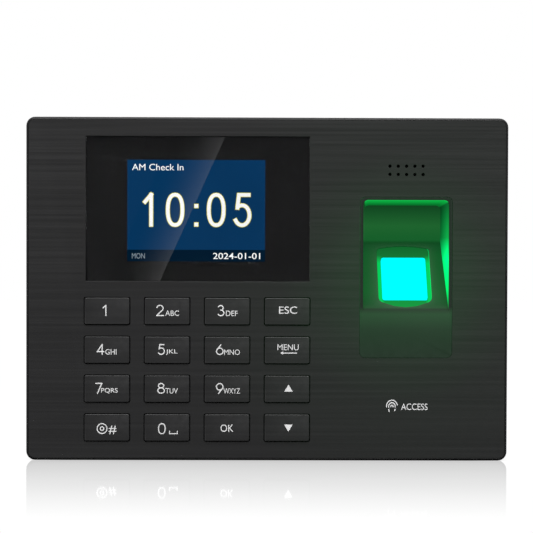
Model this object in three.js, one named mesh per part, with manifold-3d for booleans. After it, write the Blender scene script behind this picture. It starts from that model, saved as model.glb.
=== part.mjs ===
// Wall-mounted fingerprint terminal: a colour display, a sixteen-key pad and a scooped finger
// sensor in a two-part housing that hangs on a steel wall plate.
// Millimetres. +X is to the right of the face and +Z is up. Depths run from the face (y = 0)
// to the wall along +Y, and the finished group is centred in depth at the very end.
import * as THREE from 'three';
import { ConvexGeometry } from 'three/addons/geometries/ConvexGeometry.js';
import { mergeVertices } from 'three/addons/utils/BufferGeometryUtils.js';
import Module from 'manifold-3d';

const wasm = await Module();
wasm.setup();

// ---------------------------------------------------------------- driving dimensions
const terminalWidth = 200;
const terminalHeight = 142.5;
const terminalDepth = 34; // face to wall
const cornerRadius = 3.7;
const wall = 2.2; // moulded walls
const fit = 0.15; // clearance round a piece that fits in another
const seat = 0.1; // clearance under a piece that rests on another
const reach = 1; // how far a cutting shape runs past what it cuts

// Housing
const rimWidth = 1; // the front shell's edge that shows round the faceplate
const rimChamfer = 0.8;
const facePlateThickness = 0.8;
const frontWallBack = 3; // depth of the inside of the front wall
const partingDepth = 16; // where the two shells meet
const partingGap = 0.25;
const lipHeight = 2; // tongue of the rear shell inside the front shell
const lipThickness = 1.2;
const lipOverlap = 0.5; // the rear shell's walls are this much thicker, to carry the lip
const rearChamfer = 2.6;

// Display
const windowWidth = 92.8;
const windowHeight = 60.2;
const windowFromLeft = 24.7;
const windowFromTop = 7.9;
const windowSink = 0.3;
const windowThickness = 1.5;
const viewWidth = 57.3;
const viewHeight = 42.2;
const viewOffset = new THREE.Vector2(-0.7, -0.7); // centre of the picture from the window's centre
const viewMargin = 1.5; // the wall is cut back this far round the picture
const lcdWidth = 69.2;
const lcdHeight = 50;
const lcdPanelThickness = 1.6;
const lcdTrayWall = 0.4;
const lcdTrayBack = 1.2;
const gasketThickness = 0.4;

// Keys
const keyColumns = 4;
const keyRows = 4;
const keyPitchX = 24.9;
const keyPitchZ = 16.12;
const firstKeyFromLeft = 33.6;
const lastRowFromBottom = 13.69;
const keyWidth = 18.6;
const keyHeight = 11;
const keyGap = 0.35;
const keyRadius = 0.7;
const keyProud = 0.45;
const keyChamfer = 0.2;
const keyFlange = 0.9; // flange overlap behind the wall
const keyFlangeThickness = 0.75;
const keyStemRadius = 2;
const keyStemLength = 1;
const keyTravel = 0.8;
const domeHeight = 0.95;
const matThickness = 0.6;
const boardThickness = 1.6;
const keyFieldMargin = 3; // mat and board past the outer keys
const stakeRadius = 1.1;

// Finger sensor
const sensorFromRight = 42.35;
const insertWidth = 38.2;
const insertHeight = 66.7;
const insertFromTop = 32.9;
const insertRadius = 2;
const insertFlange = 1.2;
const scoopWidth = 35.7;
const scoopTopMargin = 1.2;
const scoopHeight = 46.15; // flush line to ceiling
const scoopDepth = 14;
const scoopBackHeight = 16.9; // upright wall behind the fingertip
const scoopDraft = 1.6;
const scoopRadius = 1.9;
const scoopWall = 1.8;
const platenWidth = 18.8;
const platenLength = 19.4;
const platenRadius = 1;
const platenFromFlush = 5.3; // up the slope
const platenSink = 0.1;
const ringSideMargin = 1.7;
const ringTopLevel = 4.5; // its upper end past the platen, before the crown
const ringTopCrown = 0.9;
const ringBottomLevel = 1.2;
const ringBottomCrown = 2.2;
const ringCorner = 1.6;
const ringSink = 0.35;
const ringThickness = 1.15;
const slopeLedge = 1; // wall left under the light ring
const prismDepth = 8;
const opticsWidth = 26;
const opticsHigh = 15; // up the slope from the platen centre
const opticsDepth = 10.3;
const opticsWall = 0.8;
const sensorBoardThickness = 1.2;

// Speaker
const speakerFromTop = 21.75;
const speakerHoleColumns = 5;
const speakerHoleRows = 2;
const speakerHolePitch = 3.44;
const speakerHoleRadius = 0.68;
const speakerRadius = 9.6;
const speakerMagnetRadius = 6.5;
const speakerDepth = 4.6;
const speakerClothThickness = 0.3;

// Electronics
const mainBoardWidth = 120;
const mainBoardTopMargin = 6.5;
const mainBoardDepth = 15.2; // depth of its front
const boardPostRadius = 3;
const boardPostInset = 4;
const boardPostClearance = 1.3; // from the keypad board to the main board's posts
const screwCoreRadius = 1.25;
const screwHeadRadius = 2.7;
const screwGrip = 7.2; // length of thread in a post
const screwHeadHeight = 1.5;
const cableThickness = 0.3;

// Cable bay in the back
const bayOffset = 4.5; // its middle from the main board's
const bayWidth = 79;
const bayTop = 34;
const bayDepth = 14.5; // depth of its floor from the face
const bayWall = 2;
const cableExitWidth = 16;

// Wall plate
const plateSideMargin = 38; // from the shell's sides
const plateTopMargin = 25.5;
const plateThickness = 1.5;
const plateProud = 0.2; // stands this far out of the shell, against the wall
const plateBottom = 3;
const plateTravel = 6;
const hookWidth = 8;
const hookInset = 17; // from the plate's sides
const hookHeights = [52, 95];
const tabWidth = 12;
const tabInset = 20;
const tabLift = 0.5;
const tabLength = 10;
const bossWall = 3;
const bossTop = 11;
const lockScrewLength = 8;
const plateCorner = 4;
const plateSlotWidth = 4.6;
const plateSlotHeight = 9;
const plateSlotInset = 12;
const plateSlotFromTop = 9;
const plateSlotLow = { left: 44, right: 32 };
const plateWindowMargin = 6; // the window is this much narrower than the bay on each side

// Tamper switch
const tamperFromLeft = 120;
const tamperHeight = 82;
const tamperSize = 8;
const tamperBodyDepth = 7;
const plungerRadius = 1.5;

// ---------------------------------------------------------------- places worked out from them
const left = -terminalWidth / 2;
const right = terminalWidth / 2;
const top = terminalHeight;
const middle = terminalHeight / 2;

const wallFront = facePlateThickness + seat;
const windowX = left + windowFromLeft + windowWidth / 2;
const windowZ = top - windowFromTop - windowHeight / 2;
const windowBack = windowSink + windowThickness;
const viewX = windowX + viewOffset.x;
const viewZ = windowZ + viewOffset.y;
const lcdFront = frontWallBack + gasketThickness + 2 * seat;
const lcdBack = lcdFront + lcdPanelThickness + seat + lcdTrayBack;

const keyX = (column) => left + firstKeyFromLeft + column * keyPitchX;
const keyZ = (row) => lastRowFromBottom + (keyRows - 1 - row) * keyPitchZ;
const keyFlangeFront = frontWallBack + fit;
const keyFlangeBack = keyFlangeFront + keyFlangeThickness;
const keyStemEnd = keyFlangeBack + keyStemLength;
const domeFront = keyStemEnd + keyTravel + fit;
const matFront = domeFront + domeHeight;
const keyBoardFront = matFront + matThickness + seat;
const keyBoardBack = keyBoardFront + boardThickness;
const keyFieldX = (keyX(0) + keyX(keyColumns - 1)) / 2;
const keyFieldZ = (keyZ(0) + keyZ(keyRows - 1)) / 2;
const keyFieldWidth = (keyColumns - 1) * keyPitchX + keyWidth + 2 * keyFieldMargin;
const keyFieldHeight = (keyRows - 1) * keyPitchZ + keyHeight + 2 * keyFieldMargin;

const sensorX = right - sensorFromRight;
const insertZ = top - insertFromTop - insertHeight / 2;
const scoopTop = top - insertFromTop - scoopTopMargin;
const flushZ = scoopTop - scoopHeight;
const slopeRun = scoopHeight - scoopBackHeight;
const slopeAngle = Math.atan2(scoopDepth, slopeRun);
const platenAlong = platenFromFlush + platenLength / 2;
const platenZ = flushZ + platenAlong * Math.cos(slopeAngle);
const platenDepth = platenAlong * Math.sin(slopeAngle);
const ringFloor = -(ringSink + ringThickness + seat);
const slopeBack = ringFloor - slopeLedge;
const opticsFront = slopeBack - seat;
const opticsBack = opticsFront - opticsDepth;

const speakerZ = top - speakerFromTop;
const speakerFront = frontWallBack + seat + speakerClothThickness + seat;

const mainBoardLeft = keyFieldX - keyFieldWidth / 2 - 2 * boardPostRadius - boardPostClearance;
const mainBoardX = mainBoardLeft + mainBoardWidth / 2;
const mainBoardBottom = bayTop + bayWall + 3;
const mainBoardTop = top - mainBoardTopMargin;
const mainBoardBack = mainBoardDepth + boardThickness;
const componentFront = mainBoardBack + seat;
const boardPostX = [mainBoardX - mainBoardWidth / 2 + boardPostInset,
  mainBoardX + mainBoardWidth / 2 - boardPostInset];
const boardPostZ = [mainBoardBottom + boardPostInset, mainBoardTop - boardPostInset];

const shellBack = terminalDepth - plateProud;
const plateFront = terminalDepth - plateThickness;
const pocketFloor = plateFront - 2 * fit;
const pocketWallFront = pocketFloor - wall;
const bayX = mainBoardX + bayOffset;
const bayLeft = bayX - bayWidth / 2;
const bayRight = bayX + bayWidth / 2;
const caseScrewInset = 8;
const caseScrewPlaces = [[left, 0], [right, 0], [left, top], [right, top]].map(([x, z]) =>
  new THREE.Vector2(x - Math.sign(x) * caseScrewInset, z === 0 ? caseScrewInset : z - caseScrewInset));
const plateWidth = terminalWidth - 2 * plateSideMargin;
const plateTop = terminalHeight - plateTopMargin;
const hookPlaces = [-1, 1].flatMap((side) =>
  hookHeights.map((z) => ({ x: side * (plateWidth / 2 - hookInset), z })));
const tabX = plateWidth / 2 - tabInset;
const tamperX = left + tamperFromLeft;
const bayBottom = wall + 2 * fit + bayWall;
const cableExitFront = partingDepth + 6;
const tabFront = terminalDepth - tabLength;
const tabScrewDepth = tabFront + tabLength / 3;
const lcdCableEnd = viewX + lcdWidth / 2 + 2 * seat + lcdTrayWall + 0.5;
const casePostRadius = 3.6;
const caseScrewSeat = shellBack - 5;
const casePostMeeting = 22;
const caseScrewLength = caseScrewSeat - casePostMeeting + screwGrip;

// Sockets on the main board that open downwards into the bay.
const socketFace = bayTop + fit * 2;
const sockets = {
  terminalBlock: { x: bayLeft + 15.5, width: 24, front: componentFront, depth: 8.4, height: 12 },
  powerJack: { x: bayLeft + 34.5, width: 9, front: componentFront, depth: 11, height: 14 },
  networkJack: { x: bayLeft + 51, width: 16, front: mainBoardDepth - 2 * fit, depth: 13.2, height: 16 },
  usbSocket: { x: bayLeft + 69, width: 13.2, front: componentFront, depth: 5.8, height: 14 },
};

// ---------------------------------------------------------------- shape helpers
const times = (count, make) => Array.from({ length: count }, (_, i) => make(i));

/** Closed outline of a rectangle, its corners rounded in a number of steps if radius is given. */
function rectangle(x, z, width, height, radius = 0, steps = 3) {
  const corners = [[1, 1], [-1, 1], [-1, -1], [1, -1]];
  const turns = radius === 0 ? 0 : steps;
  return new THREE.Shape(corners.flatMap(([sx, sz], quarter) => times(turns + 1, (i) => {
    const angle = (quarter + (turns === 0 ? 0 : i / turns)) * Math.PI / 2;
    return new THREE.Vector2(x + sx * (width / 2 - radius) + radius * Math.cos(angle),
      z + sz * (height / 2 - radius) + radius * Math.sin(angle));
  })));
}

/** Closed outline of a circle, as a regular polygon round it. */
function circle(x, z, radius, sides = 12) {
  const corner = radius / Math.cos(Math.PI / sides);
  return new THREE.Shape(times(sides, (i) => new THREE.Vector2(
    x + corner * Math.cos(2 * Math.PI * i / sides), z + corner * Math.sin(2 * Math.PI * i / sides))));
}

/** An outline on the face plane made into a plate between two depths. */
function plate(outline, front, back) {
  const options = { depth: back - front, bevelEnabled: false };
  return new THREE.ExtrudeGeometry(outline, options).rotateX(Math.PI / 2).translate(0, back, 0);
}

/** The same with its edges chamfered at both ends. */
function chamferedPlate(outline, front, back, chamfer) {
  const options = {
    depth: back - front - 2 * chamfer,
    bevelThickness: chamfer, bevelSize: chamfer, bevelOffset: -chamfer, bevelSegments: 1,
  };
  const geometry = new THREE.ExtrudeGeometry(outline, options).rotateX(Math.PI / 2);
  return geometry.translate(0, back - chamfer, 0);
}

/** A block between two corners. */
function block(x0, x1, y0, y1, z0, z1) {
  const geometry = new THREE.BoxGeometry(x1 - x0, y1 - y0, z1 - z0);
  return geometry.translate((x0 + x1) / 2, (y0 + y1) / 2, (z0 + z1) / 2);
}

/** A round bar along the depth. */
function rod(x, z, radius, front, back, sides = 16) {
  const geometry = new THREE.CylinderGeometry(radius, radius, back - front, sides);
  return geometry.translate(x, (front + back) / 2, z);
}

/** A round bar along the height. */
function rodUp(x, y, radius, z0, z1, sides = 12) {
  const geometry = new THREE.CylinderGeometry(radius, radius, z1 - z0, sides).rotateX(Math.PI / 2);
  return geometry.translate(x, y, (z0 + z1) / 2);
}

/** A turned piece along +Y from [radius, y] points that start and end on the axis. */
function turned(points, sides = 20) {
  return new THREE.LatheGeometry(points.map(([r, y]) => new THREE.Vector2(r, y)), sides);
}

function solidOf(geometry) {
  const bare = geometry.clone();
  bare.deleteAttribute('normal');
  bare.deleteAttribute('uv');
  const merged = mergeVertices(bare, 1e-4);
  const index = merged.index.array;
  const kept = [];
  for (let i = 0; i < index.length; i += 3) {
    const [a, b, c] = [index[i], index[i + 1], index[i + 2]];
    if (a !== b && b !== c && c !== a) kept.push(a, b, c);
  }
  const vertProperties = new Float32Array(merged.attributes.position.array);
  const mesh = new wasm.Mesh({ numProp: 3, vertProperties, triVerts: new Uint32Array(kept) });
  return new wasm.Manifold(mesh);
}

function geometryOf(solid) {
  const mesh = solid.getMesh();
  const geometry = new THREE.BufferGeometry();
  geometry.setAttribute('position', new THREE.BufferAttribute(mesh.vertProperties, 3));
  geometry.setIndex(new THREE.BufferAttribute(mesh.triVerts, 1));
  return geometry;
}

const combine = (how) => (first, ...others) =>
  geometryOf(others.reduce((made, next) => made[how](solidOf(next)), solidOf(first)));
const join = combine('add');
const cut = combine('subtract');
const common = combine('intersect');

// ---------------------------------------------------------------- materials
function finish(color, roughness, metalness = 0, extra = {}) {
  return new THREE.MeshStandardMaterial({ color, roughness, metalness, ...extra });
}
const shellPlastic = finish(0x1c1c1d, 0.5);
const brushedBlack = finish(0x2f2f30, 0.42, 0.6);
const windowGlass = finish(0x141416, 0.08);
const keyPlastic = finish(0x2b2b2c, 0.42, 0.4);
const scoopPlastic = finish(0x2a4a32, 0.45);
const guideGreen = finish(0x35ff7a, 0.4, 0, { emissive: 0x1fd65c });
const platenCyan = finish(0x19f5ff, 0.15, 0, { emissive: 0x10c8d8 });
const lcdBlue = finish(0x0a3a66, 0.2);
const darkFoam = finish(0x161616, 0.95);
const mouldedGrey = finish(0x5a5c5e, 0.6);
const silicone = finish(0xb8bab8, 0.75);
const boardGreen = finish(0x1d5a35, 0.55);
const steel = finish(0x9a9ca0, 0.35, 1);
const zincPlate = finish(0xaeb0b2, 0.45, 0.9);
const chipBlack = finish(0x202124, 0.5);
const copperFlex = finish(0xb5702c, 0.45, 0.2);
const whiteNylon = finish(0xd9dad6, 0.6);
const blockGreen = finish(0x2f8f4a, 0.5);
const lensGlass = finish(0x203040, 0.05);

// ---------------------------------------------------------------- repeated outlines
const shellOutline = (inset) => rectangle(0, middle, terminalWidth - 2 * inset,
  terminalHeight - 2 * inset, Math.max(cornerRadius - inset, 0.5), 6);
const windowOutline = (grow) => rectangle(windowX, windowZ, windowWidth + 2 * grow, windowHeight + 2 * grow);
const insertOutline = (grow) => rectangle(sensorX, insertZ, insertWidth + 2 * grow,
  insertHeight + 2 * grow, insertRadius + grow);
const keyHole = (column, row) => rectangle(keyX(column), keyZ(row), keyWidth + 2 * keyGap,
  keyHeight + 2 * keyGap, keyRadius, 2);
const keyHoles = () => times(keyColumns * keyRows, (i) => keyHole(i % keyColumns, Math.floor(i / keyColumns)));
const speakerHoles = () => times(speakerHoleColumns * speakerHoleRows, (i) => {
  const column = i % speakerHoleColumns - (speakerHoleColumns - 1) / 2;
  const row = Math.floor(i / speakerHoleColumns) - (speakerHoleRows - 1) / 2;
  return circle(sensorX + column * speakerHolePitch, speakerZ + row * speakerHolePitch,
    speakerHoleRadius, 10);
});
const stakePlaces = [0.5, keyColumns - 1.5].flatMap((column) => [0.5, keyRows - 1.5].map((row) =>
  new THREE.Vector2(keyX(column), keyZ(row))));

// ---------------------------------------------------------------- housing
/** The blind bore of a post that ends at a depth. */
const screwBore = (x, z, end) =>
  rod(x, z, screwCoreRadius + fit, end - screwGrip - reach, end + reach, 12);

function frontShell() {
  const blank = common(chamferedPlate(shellOutline(0), 0, partingDepth + reach, rimChamfer),
    block(left - reach, right + reach, -reach, partingDepth, -reach, top + reach));
  const body = cut(blank,
    plate(shellOutline(rimWidth), -reach, wallFront),
    plate(shellOutline(wall), frontWallBack, partingDepth + reach));
  const casePosts = caseScrewPlaces.map((p) =>
    rod(p.x, p.y, casePostRadius, frontWallBack - seat, casePostMeeting));
  const boardPosts = boardPostX.flatMap((x) => boardPostZ.map((z) =>
    rod(x, z, boardPostRadius, frontWallBack - seat, mainBoardDepth - seat)));
  const stakes = stakePlaces.map((p) =>
    rod(p.x, p.y, stakeRadius, frontWallBack - seat, keyBoardBack + stakeRadius / 2, 10));
  const posted = join(body, ...casePosts, ...boardPosts, ...stakes);
  const opening = (outline) => plate(outline, 0, frontWallBack + reach);
  return cut(posted,
    plate(windowOutline(fit), 0, windowBack + seat),
    opening(rectangle(viewX, viewZ, viewWidth + 2 * viewMargin, viewHeight + 2 * viewMargin)),
    ...keyHoles().map(opening),
    opening(insertOutline(fit)),
    opening(rectangle(sensorX, speakerZ, (speakerHoleColumns + 0.3) * speakerHolePitch,
      (speakerHoleRows + 0.3) * speakerHolePitch, 1)),
    ...caseScrewPlaces.map((p) => screwBore(p.x, p.y, casePostMeeting)),
    ...boardPostX.flatMap((x) => boardPostZ.map((z) => screwBore(x, z, mainBoardDepth))));
}

function facePlate() {
  const outline = shellOutline(rimWidth + seat);
  outline.holes = [windowOutline(0), insertOutline(fit), ...keyHoles(), ...speakerHoles()];
  return plate(outline, 0, facePlateThickness);
}

function rearShell() {
  const front = partingDepth + partingGap;
  const outer = common(chamferedPlate(shellOutline(0), front - rearChamfer - reach, shellBack, rearChamfer),
    block(left - reach, right + reach, front, shellBack + reach, -reach, top + reach));
  const lip = cut(plate(shellOutline(wall + fit), front - lipHeight, front + reach),
    plate(shellOutline(wall + fit + lipThickness), front - lipHeight - reach, front + 2 * reach));
  const hollow = cut(outer, plate(shellOutline(wall + lipOverlap), front - reach, shellBack - wall));
  const pocketTop = plateTop + 2 * fit;
  const pocketHalf = plateWidth / 2 + 2 * fit;
  const pocketBacking = common(outer, block(-pocketHalf - wall, pocketHalf + wall, pocketWallFront,
    shellBack + reach, 0, pocketTop + wall));
  const bay = join(
    block(bayLeft - bayWall, bayRight + bayWall, bayDepth - bayWall, pocketWallFront + seat,
      bayBottom - bayWall, bayTop + bayWall),
    block(bayLeft - bayWall, bayRight + bayWall, front + seat, pocketWallFront + seat,
      wall / 2, bayBottom));
  const tabHalf = tabWidth / 2;
  const tabBoss = block(tabX - tabHalf - bossWall, tabX + tabHalf + bossWall, tabFront - 2 * fit - bossWall,
    shellBack - seat, wall / 2, bossTop);
  const posts = caseScrewPlaces.map((p) =>
    rod(p.x, p.y, casePostRadius + 0.4, casePostMeeting + 2 * seat, shellBack - rearChamfer / 2));
  const joined = join(hollow, lip, pocketBacking, bay, tabBoss, ...posts);
  const slotTop = (z) => z + plateThickness + 2 * fit;
  const socketHoles = Object.values(sockets).map((s) =>
    block(s.x - s.width / 2 - fit, s.x + s.width / 2 + fit, s.front - fit, s.front + s.depth + fit,
      bayTop - reach, bayTop + bayWall + reach));
  return cut(joined,
    block(-pocketHalf, pocketHalf, pocketFloor, shellBack + reach, -reach, pocketTop),
    block(bayLeft, bayRight, bayDepth, shellBack, bayBottom, bayTop),
    block(bayX - cableExitWidth / 2, bayX + cableExitWidth / 2, cableExitFront, shellBack + reach,
      -reach, bayBottom + reach),
    ...socketHoles,
    ...hookPlaces.map(({ x, z }) =>
      block(x - hookWidth / 2 - fit, x + hookWidth / 2 + fit, pocketWallFront - reach,
        pocketFloor + reach, z - plateTravel - 2 * fit, slotTop(z))),
    block(tabX - tabHalf - 2 * fit, tabX + tabHalf + 2 * fit, tabFront - 2 * fit, shellBack + reach,
      -reach, tabLift + plateThickness + 2 * fit),
    rodUp(tabX, tabScrewDepth, screwCoreRadius + fit, tabLift, bossTop - reach),
    rod(tamperX, tamperHeight, plungerRadius + 2 * fit, pocketWallFront - reach, pocketFloor + reach),
    ...caseScrewPlaces.flatMap((p) => [
      rod(p.x, p.y, screwHeadRadius + 2 * fit, caseScrewSeat, shellBack + reach),
      rod(p.x, p.y, screwCoreRadius + fit, casePostMeeting - reach, caseScrewSeat + reach, 12)]));
}

function panScrew(length) {
  const head = screwHeadRadius;
  const drive = 0.9;
  return turned([[0, -length], [screwCoreRadius, -length], [screwCoreRadius, 0], [head, 0],
    [head, screwHeadHeight * 0.6], [head * 0.7, screwHeadHeight], [drive, screwHeadHeight],
    [drive, screwHeadHeight * 0.4], [0, screwHeadHeight * 0.4]], 14);
}

// ---------------------------------------------------------------- display
function displayGasket() {
  const outline = rectangle(viewX, viewZ, lcdWidth - 2, lcdHeight - 1);
  outline.holes = [rectangle(viewX, viewZ, viewWidth + 2 * viewMargin, viewHeight + 2 * viewMargin)];
  return plate(outline, frontWallBack + seat, frontWallBack + seat + gasketThickness);
}

function lcdTray() {
  const grown = 2 * (seat + lcdTrayWall);
  const outer = plate(rectangle(viewX, viewZ, lcdWidth + grown, lcdHeight + grown), lcdFront + seat, lcdBack);
  return cut(outer, plate(rectangle(viewX, viewZ, lcdWidth + 2 * seat, lcdHeight + 2 * seat),
    lcdFront - reach, lcdFront + lcdPanelThickness + seat));
}

/** A flat cable folded back on itself in a half circle, its two ends pointing to -X. */
function foldedCable(end, fold, front, back, z, width) {
  const half = (back - front) / 2;
  const outline = new THREE.Shape();
  outline.moveTo(end, front).lineTo(fold, front);
  outline.absarc(fold, front + half, half, -Math.PI / 2, Math.PI / 2);
  outline.lineTo(end, back).lineTo(end, back - cableThickness);
  outline.absarc(fold, front + half, half - cableThickness, Math.PI / 2, -Math.PI / 2, true);
  outline.lineTo(end, front + cableThickness);
  const options = { depth: width, bevelEnabled: false, curveSegments: 4 };
  return new THREE.ExtrudeGeometry(outline, options).translate(0, 0, z - width / 2);
}

// ---------------------------------------------------------------- keypad
function keyCap() {
  const cap = chamferedPlate(rectangle(0, 0, keyWidth, keyHeight, keyRadius), -keyProud,
    keyFlangeBack - seat, keyChamfer);
  const grown = 2 * (keyGap + keyFlange);
  const flange = plate(rectangle(0, 0, keyWidth + grown, keyHeight + grown), keyFlangeFront, keyFlangeBack);
  return join(cap, flange, rod(0, 0, keyStemRadius, keyFlangeFront, keyStemEnd, 12));
}

const stakeHoles = () => stakePlaces.map((p) => circle(p.x, p.y, stakeRadius + fit));

function keypadMat() {
  const sheet = rectangle(keyFieldX, keyFieldZ, keyFieldWidth, keyFieldHeight, 1.5);
  sheet.holes = stakeHoles();
  const dome = (x, z) => new THREE.CylinderGeometry(4.6, 2.6, domeHeight + seat, 8)
    .translate(x, domeFront + (domeHeight + seat) / 2, z);
  return join(plate(sheet, matFront, matFront + matThickness),
    ...times(keyColumns * keyRows, (i) => dome(keyX(i % keyColumns), keyZ(Math.floor(i / keyColumns)))));
}

function keypadBoard() {
  const outline = rectangle(keyFieldX, keyFieldZ, keyFieldWidth, keyFieldHeight, 1.5);
  outline.holes = stakeHoles();
  return plate(outline, keyBoardFront, keyBoardBack);
}

// ---------------------------------------------------------------- finger sensor
// The sensor's own frame has x across, y up the slope and z out of the slope, with its origin
// at the platen's centre on the slope's surface.
const sensorTilt = Math.PI / 2 - slopeAngle;
const onSlope = (geometry) => geometry.rotateX(sensorTilt).translate(sensorX, platenDepth, platenZ);

function slopePlate(outline, low, high, curveSegments = 2) {
  const options = { depth: high - low, bevelEnabled: false, curveSegments };
  return new THREE.ExtrudeGeometry(outline, options).translate(0, 0, low);
}

/** Everything behind a plane that lies parallel to the slope. */
const behindSlope = (height) => {
  const size = 4 * scoopHeight;
  return onSlope(new THREE.BoxGeometry(size, size, size).translate(0, 0, height - size / 2));
};

/** The scoop's corners at one depth, drawn in by the draft and grown by a wall. */
function scoopSection(depth, grow) {
  const inset = scoopDraft * depth / scoopDepth - grow;
  const ceiling = scoopTop - inset;
  const height = ceiling - flushZ + insertRadius * 4;
  const outline = rectangle(sensorX, ceiling - height / 2, scoopWidth - 2 * inset, height,
    scoopRadius + grow);
  return outline.getPoints().map((p) => new THREE.Vector3(p.x, depth, p.y));
}

const scoopHull = (front, back, grow) =>
  new ConvexGeometry([...scoopSection(front, grow), ...scoopSection(back, grow)]);

/** Straight sides with a crowned end above and below, all drawn in by inset. */
function crownedOutline(inset) {
  const half = platenWidth / 2 + ringSideMargin - inset;
  const corner = ringCorner - inset;
  const outline = new THREE.Shape();
  const end = (turn, level, crown) => {
    const rise = platenLength / 2 + level - inset;
    const shoulder = rise - 2 * crown * corner / (half - corner);
    const [across, up] = [turn * half, turn * shoulder];
    outline.lineTo(across, turn * (shoulder - corner));
    outline.quadraticCurveTo(across, up, turn * (half - corner), turn * rise);
    outline.quadraticCurveTo(0, turn * (rise + 2 * crown), -turn * (half - corner), turn * rise);
    outline.quadraticCurveTo(-across, up, -across, turn * (shoulder - corner));
  };
  outline.moveTo(half, 0);
  end(1, ringTopLevel, ringTopCrown);
  end(-1, ringBottomLevel, ringBottomCrown);
  return outline;
}

function sensorInsert() {
  const flangeBack = frontWallBack + insertFlange;
  const face = plate(insertOutline(0), 0, flangeBack);
  const flange = plate(insertOutline(insertFlange), frontWallBack + seat, flangeBack);
  const pan = cut(scoopHull(frontWallBack + seat, scoopDepth + scoopWall, scoopWall),
    behindSlope(slopeBack));
  const hollow = cut(scoopHull(-reach, scoopDepth, 0), behindSlope(0));
  const ringSeat = onSlope(slopePlate(crownedOutline(0), ringFloor, reach, 4));
  const through = onSlope(slopePlate(rectangle(0, 0, platenWidth + 8 * fit, platenLength + 8 * fit,
    platenRadius), slopeBack - 2 * reach, reach));
  return cut(join(face, flange, pan), hollow, ringSeat, through);
}

function lightRing() {
  const outline = crownedOutline(fit);
  outline.holes = [rectangle(0, 0, platenWidth + 2 * fit, platenLength + 2 * fit, platenRadius)];
  return slopePlate(outline, -ringSink - ringThickness, -ringSink, 4);
}

/** A glass block whose underside slants, so that it turns the picture towards the lens. */
function platenPrism() {
  const block = slopePlate(rectangle(0, 0, platenWidth, platenLength, platenRadius),
    -prismDepth, -platenSink);
  const half = platenLength / 2 + reach;
  const under = new THREE.Shape();
  under.moveTo(-half, -prismDepth - reach).lineTo(half, -prismDepth - reach);
  under.lineTo(half, -prismDepth).lineTo(-half, -prismDepth * 0.45);
  const wedge = new THREE.ExtrudeGeometry(under, { depth: 2 * half, bevelEnabled: false });
  wedge.translate(0, 0, -half).rotateX(Math.PI / 2).rotateZ(Math.PI / 2);
  return cut(block, wedge);
}

const opticsLow = -(platenLength / 2 + fit + opticsWall);
const sensorBoardFront = opticsBack - seat;
const opticsMiddle = (opticsLow + opticsHigh) / 2;
const opticsLength = opticsHigh - opticsLow;

function opticsHousing() {
  const outline = rectangle(0, opticsMiddle, opticsWidth, opticsLength, 1);
  outline.holes = [rectangle(0, opticsMiddle, opticsWidth - 2 * opticsWall, opticsLength - 2 * opticsWall)];
  return slopePlate(outline, opticsBack, opticsFront);
}

function cameraLens() {
  const barrel = 3.4;
  const points = [[0, 0], [barrel, 0], [barrel, 2.6], [barrel - 1, 2.6], [barrel - 1, 2.2], [0, 2.5]];
  return turned(points, 16).rotateX(Math.PI / 2);
}

/** A flat cable from the main board's edge to the back of the sensor's board. */
function sensorCable() {
  const high = flushZ + 5;
  const behind = sensorBoardFront - sensorBoardThickness - seat;
  const up = (high - platenZ - behind * Math.sin(slopeAngle)) / Math.cos(slopeAngle);
  const front = platenDepth + up * Math.sin(slopeAngle) - behind * Math.cos(slopeAngle);
  return block(mainBoardX + mainBoardWidth / 2 - 8, sensorX - 2, front, front + cableThickness,
    high - 8, high);
}

// ---------------------------------------------------------------- speaker
function speaker() {
  return turned([[0, 0.3], [speakerRadius - 1.6, 0.3], [speakerRadius - 1.2, 0], [speakerRadius, 0],
    [speakerRadius, 1.2], [speakerMagnetRadius, 2.4], [speakerMagnetRadius, speakerDepth],
    [0, speakerDepth]], 20);
}

// ---------------------------------------------------------------- electronics
const socketBox = (s) => block(s.x - s.width / 2, s.x + s.width / 2, s.front, s.front + s.depth,
  socketFace, socketFace + s.height);

function mainBoard() {
  const board = rectangle(mainBoardX, (mainBoardBottom + mainBoardTop) / 2, mainBoardWidth,
    mainBoardTop - mainBoardBottom, 1.5);
  board.holes = boardPostX.flatMap((x) => boardPostZ.map((z) => circle(x, z, screwCoreRadius + fit)));
  const jack = sockets.networkJack;
  const notch = block(jack.x - jack.width / 2 - fit, jack.x + jack.width / 2 + fit, 0, terminalDepth,
    0, socketFace + jack.height + fit);
  return cut(plate(board, mainBoardDepth, mainBoardBack), notch);
}

function terminalBlock() {
  const s = sockets.terminalBlock;
  const ways = 6;
  const pitch = 3.81;
  return cut(socketBox(s), ...times(ways, (i) => {
    const x = s.x + (i - (ways - 1) / 2) * pitch;
    return block(x - 1.3, x + 1.3, s.front + 2.4, s.front + 6, socketFace - reach, socketFace + 7);
  }));
}

function powerJack() {
  const s = sockets.powerJack;
  const depth = s.front + s.depth / 2;
  return join(cut(socketBox(s), rodUp(s.x, depth, 3.1, socketFace - reach, socketFace + 9.5, 16)),
    rodUp(s.x, depth, 1, socketFace + 1, socketFace + 10, 10));
}

function networkJack() {
  const s = sockets.networkJack;
  const plugWidth = 11.7;
  const plugDepth = 6.8;
  return cut(socketBox(s),
    block(s.x - plugWidth / 2, s.x + plugWidth / 2, s.front + 3, s.front + 3 + plugDepth,
      socketFace - reach, socketFace + 12.5),
    block(s.x - 3, s.x + 3, s.front + 3, s.front + 5 + plugDepth, socketFace - reach, socketFace + 9));
}

function usbSocket() {
  const s = sockets.usbSocket;
  const can = 0.5;
  const tongue = block(s.x - 5.6, s.x + 5.6, s.front + 3.3, s.front + s.depth - can - 0.2,
    socketFace + 1.5, socketFace + s.height - 4);
  return join(cut(socketBox(s), block(s.x - s.width / 2 + can, s.x + s.width / 2 - can, s.front + can,
    s.front + s.depth - can, socketFace - reach, socketFace + s.height - 4.5)), tongue);
}

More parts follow.
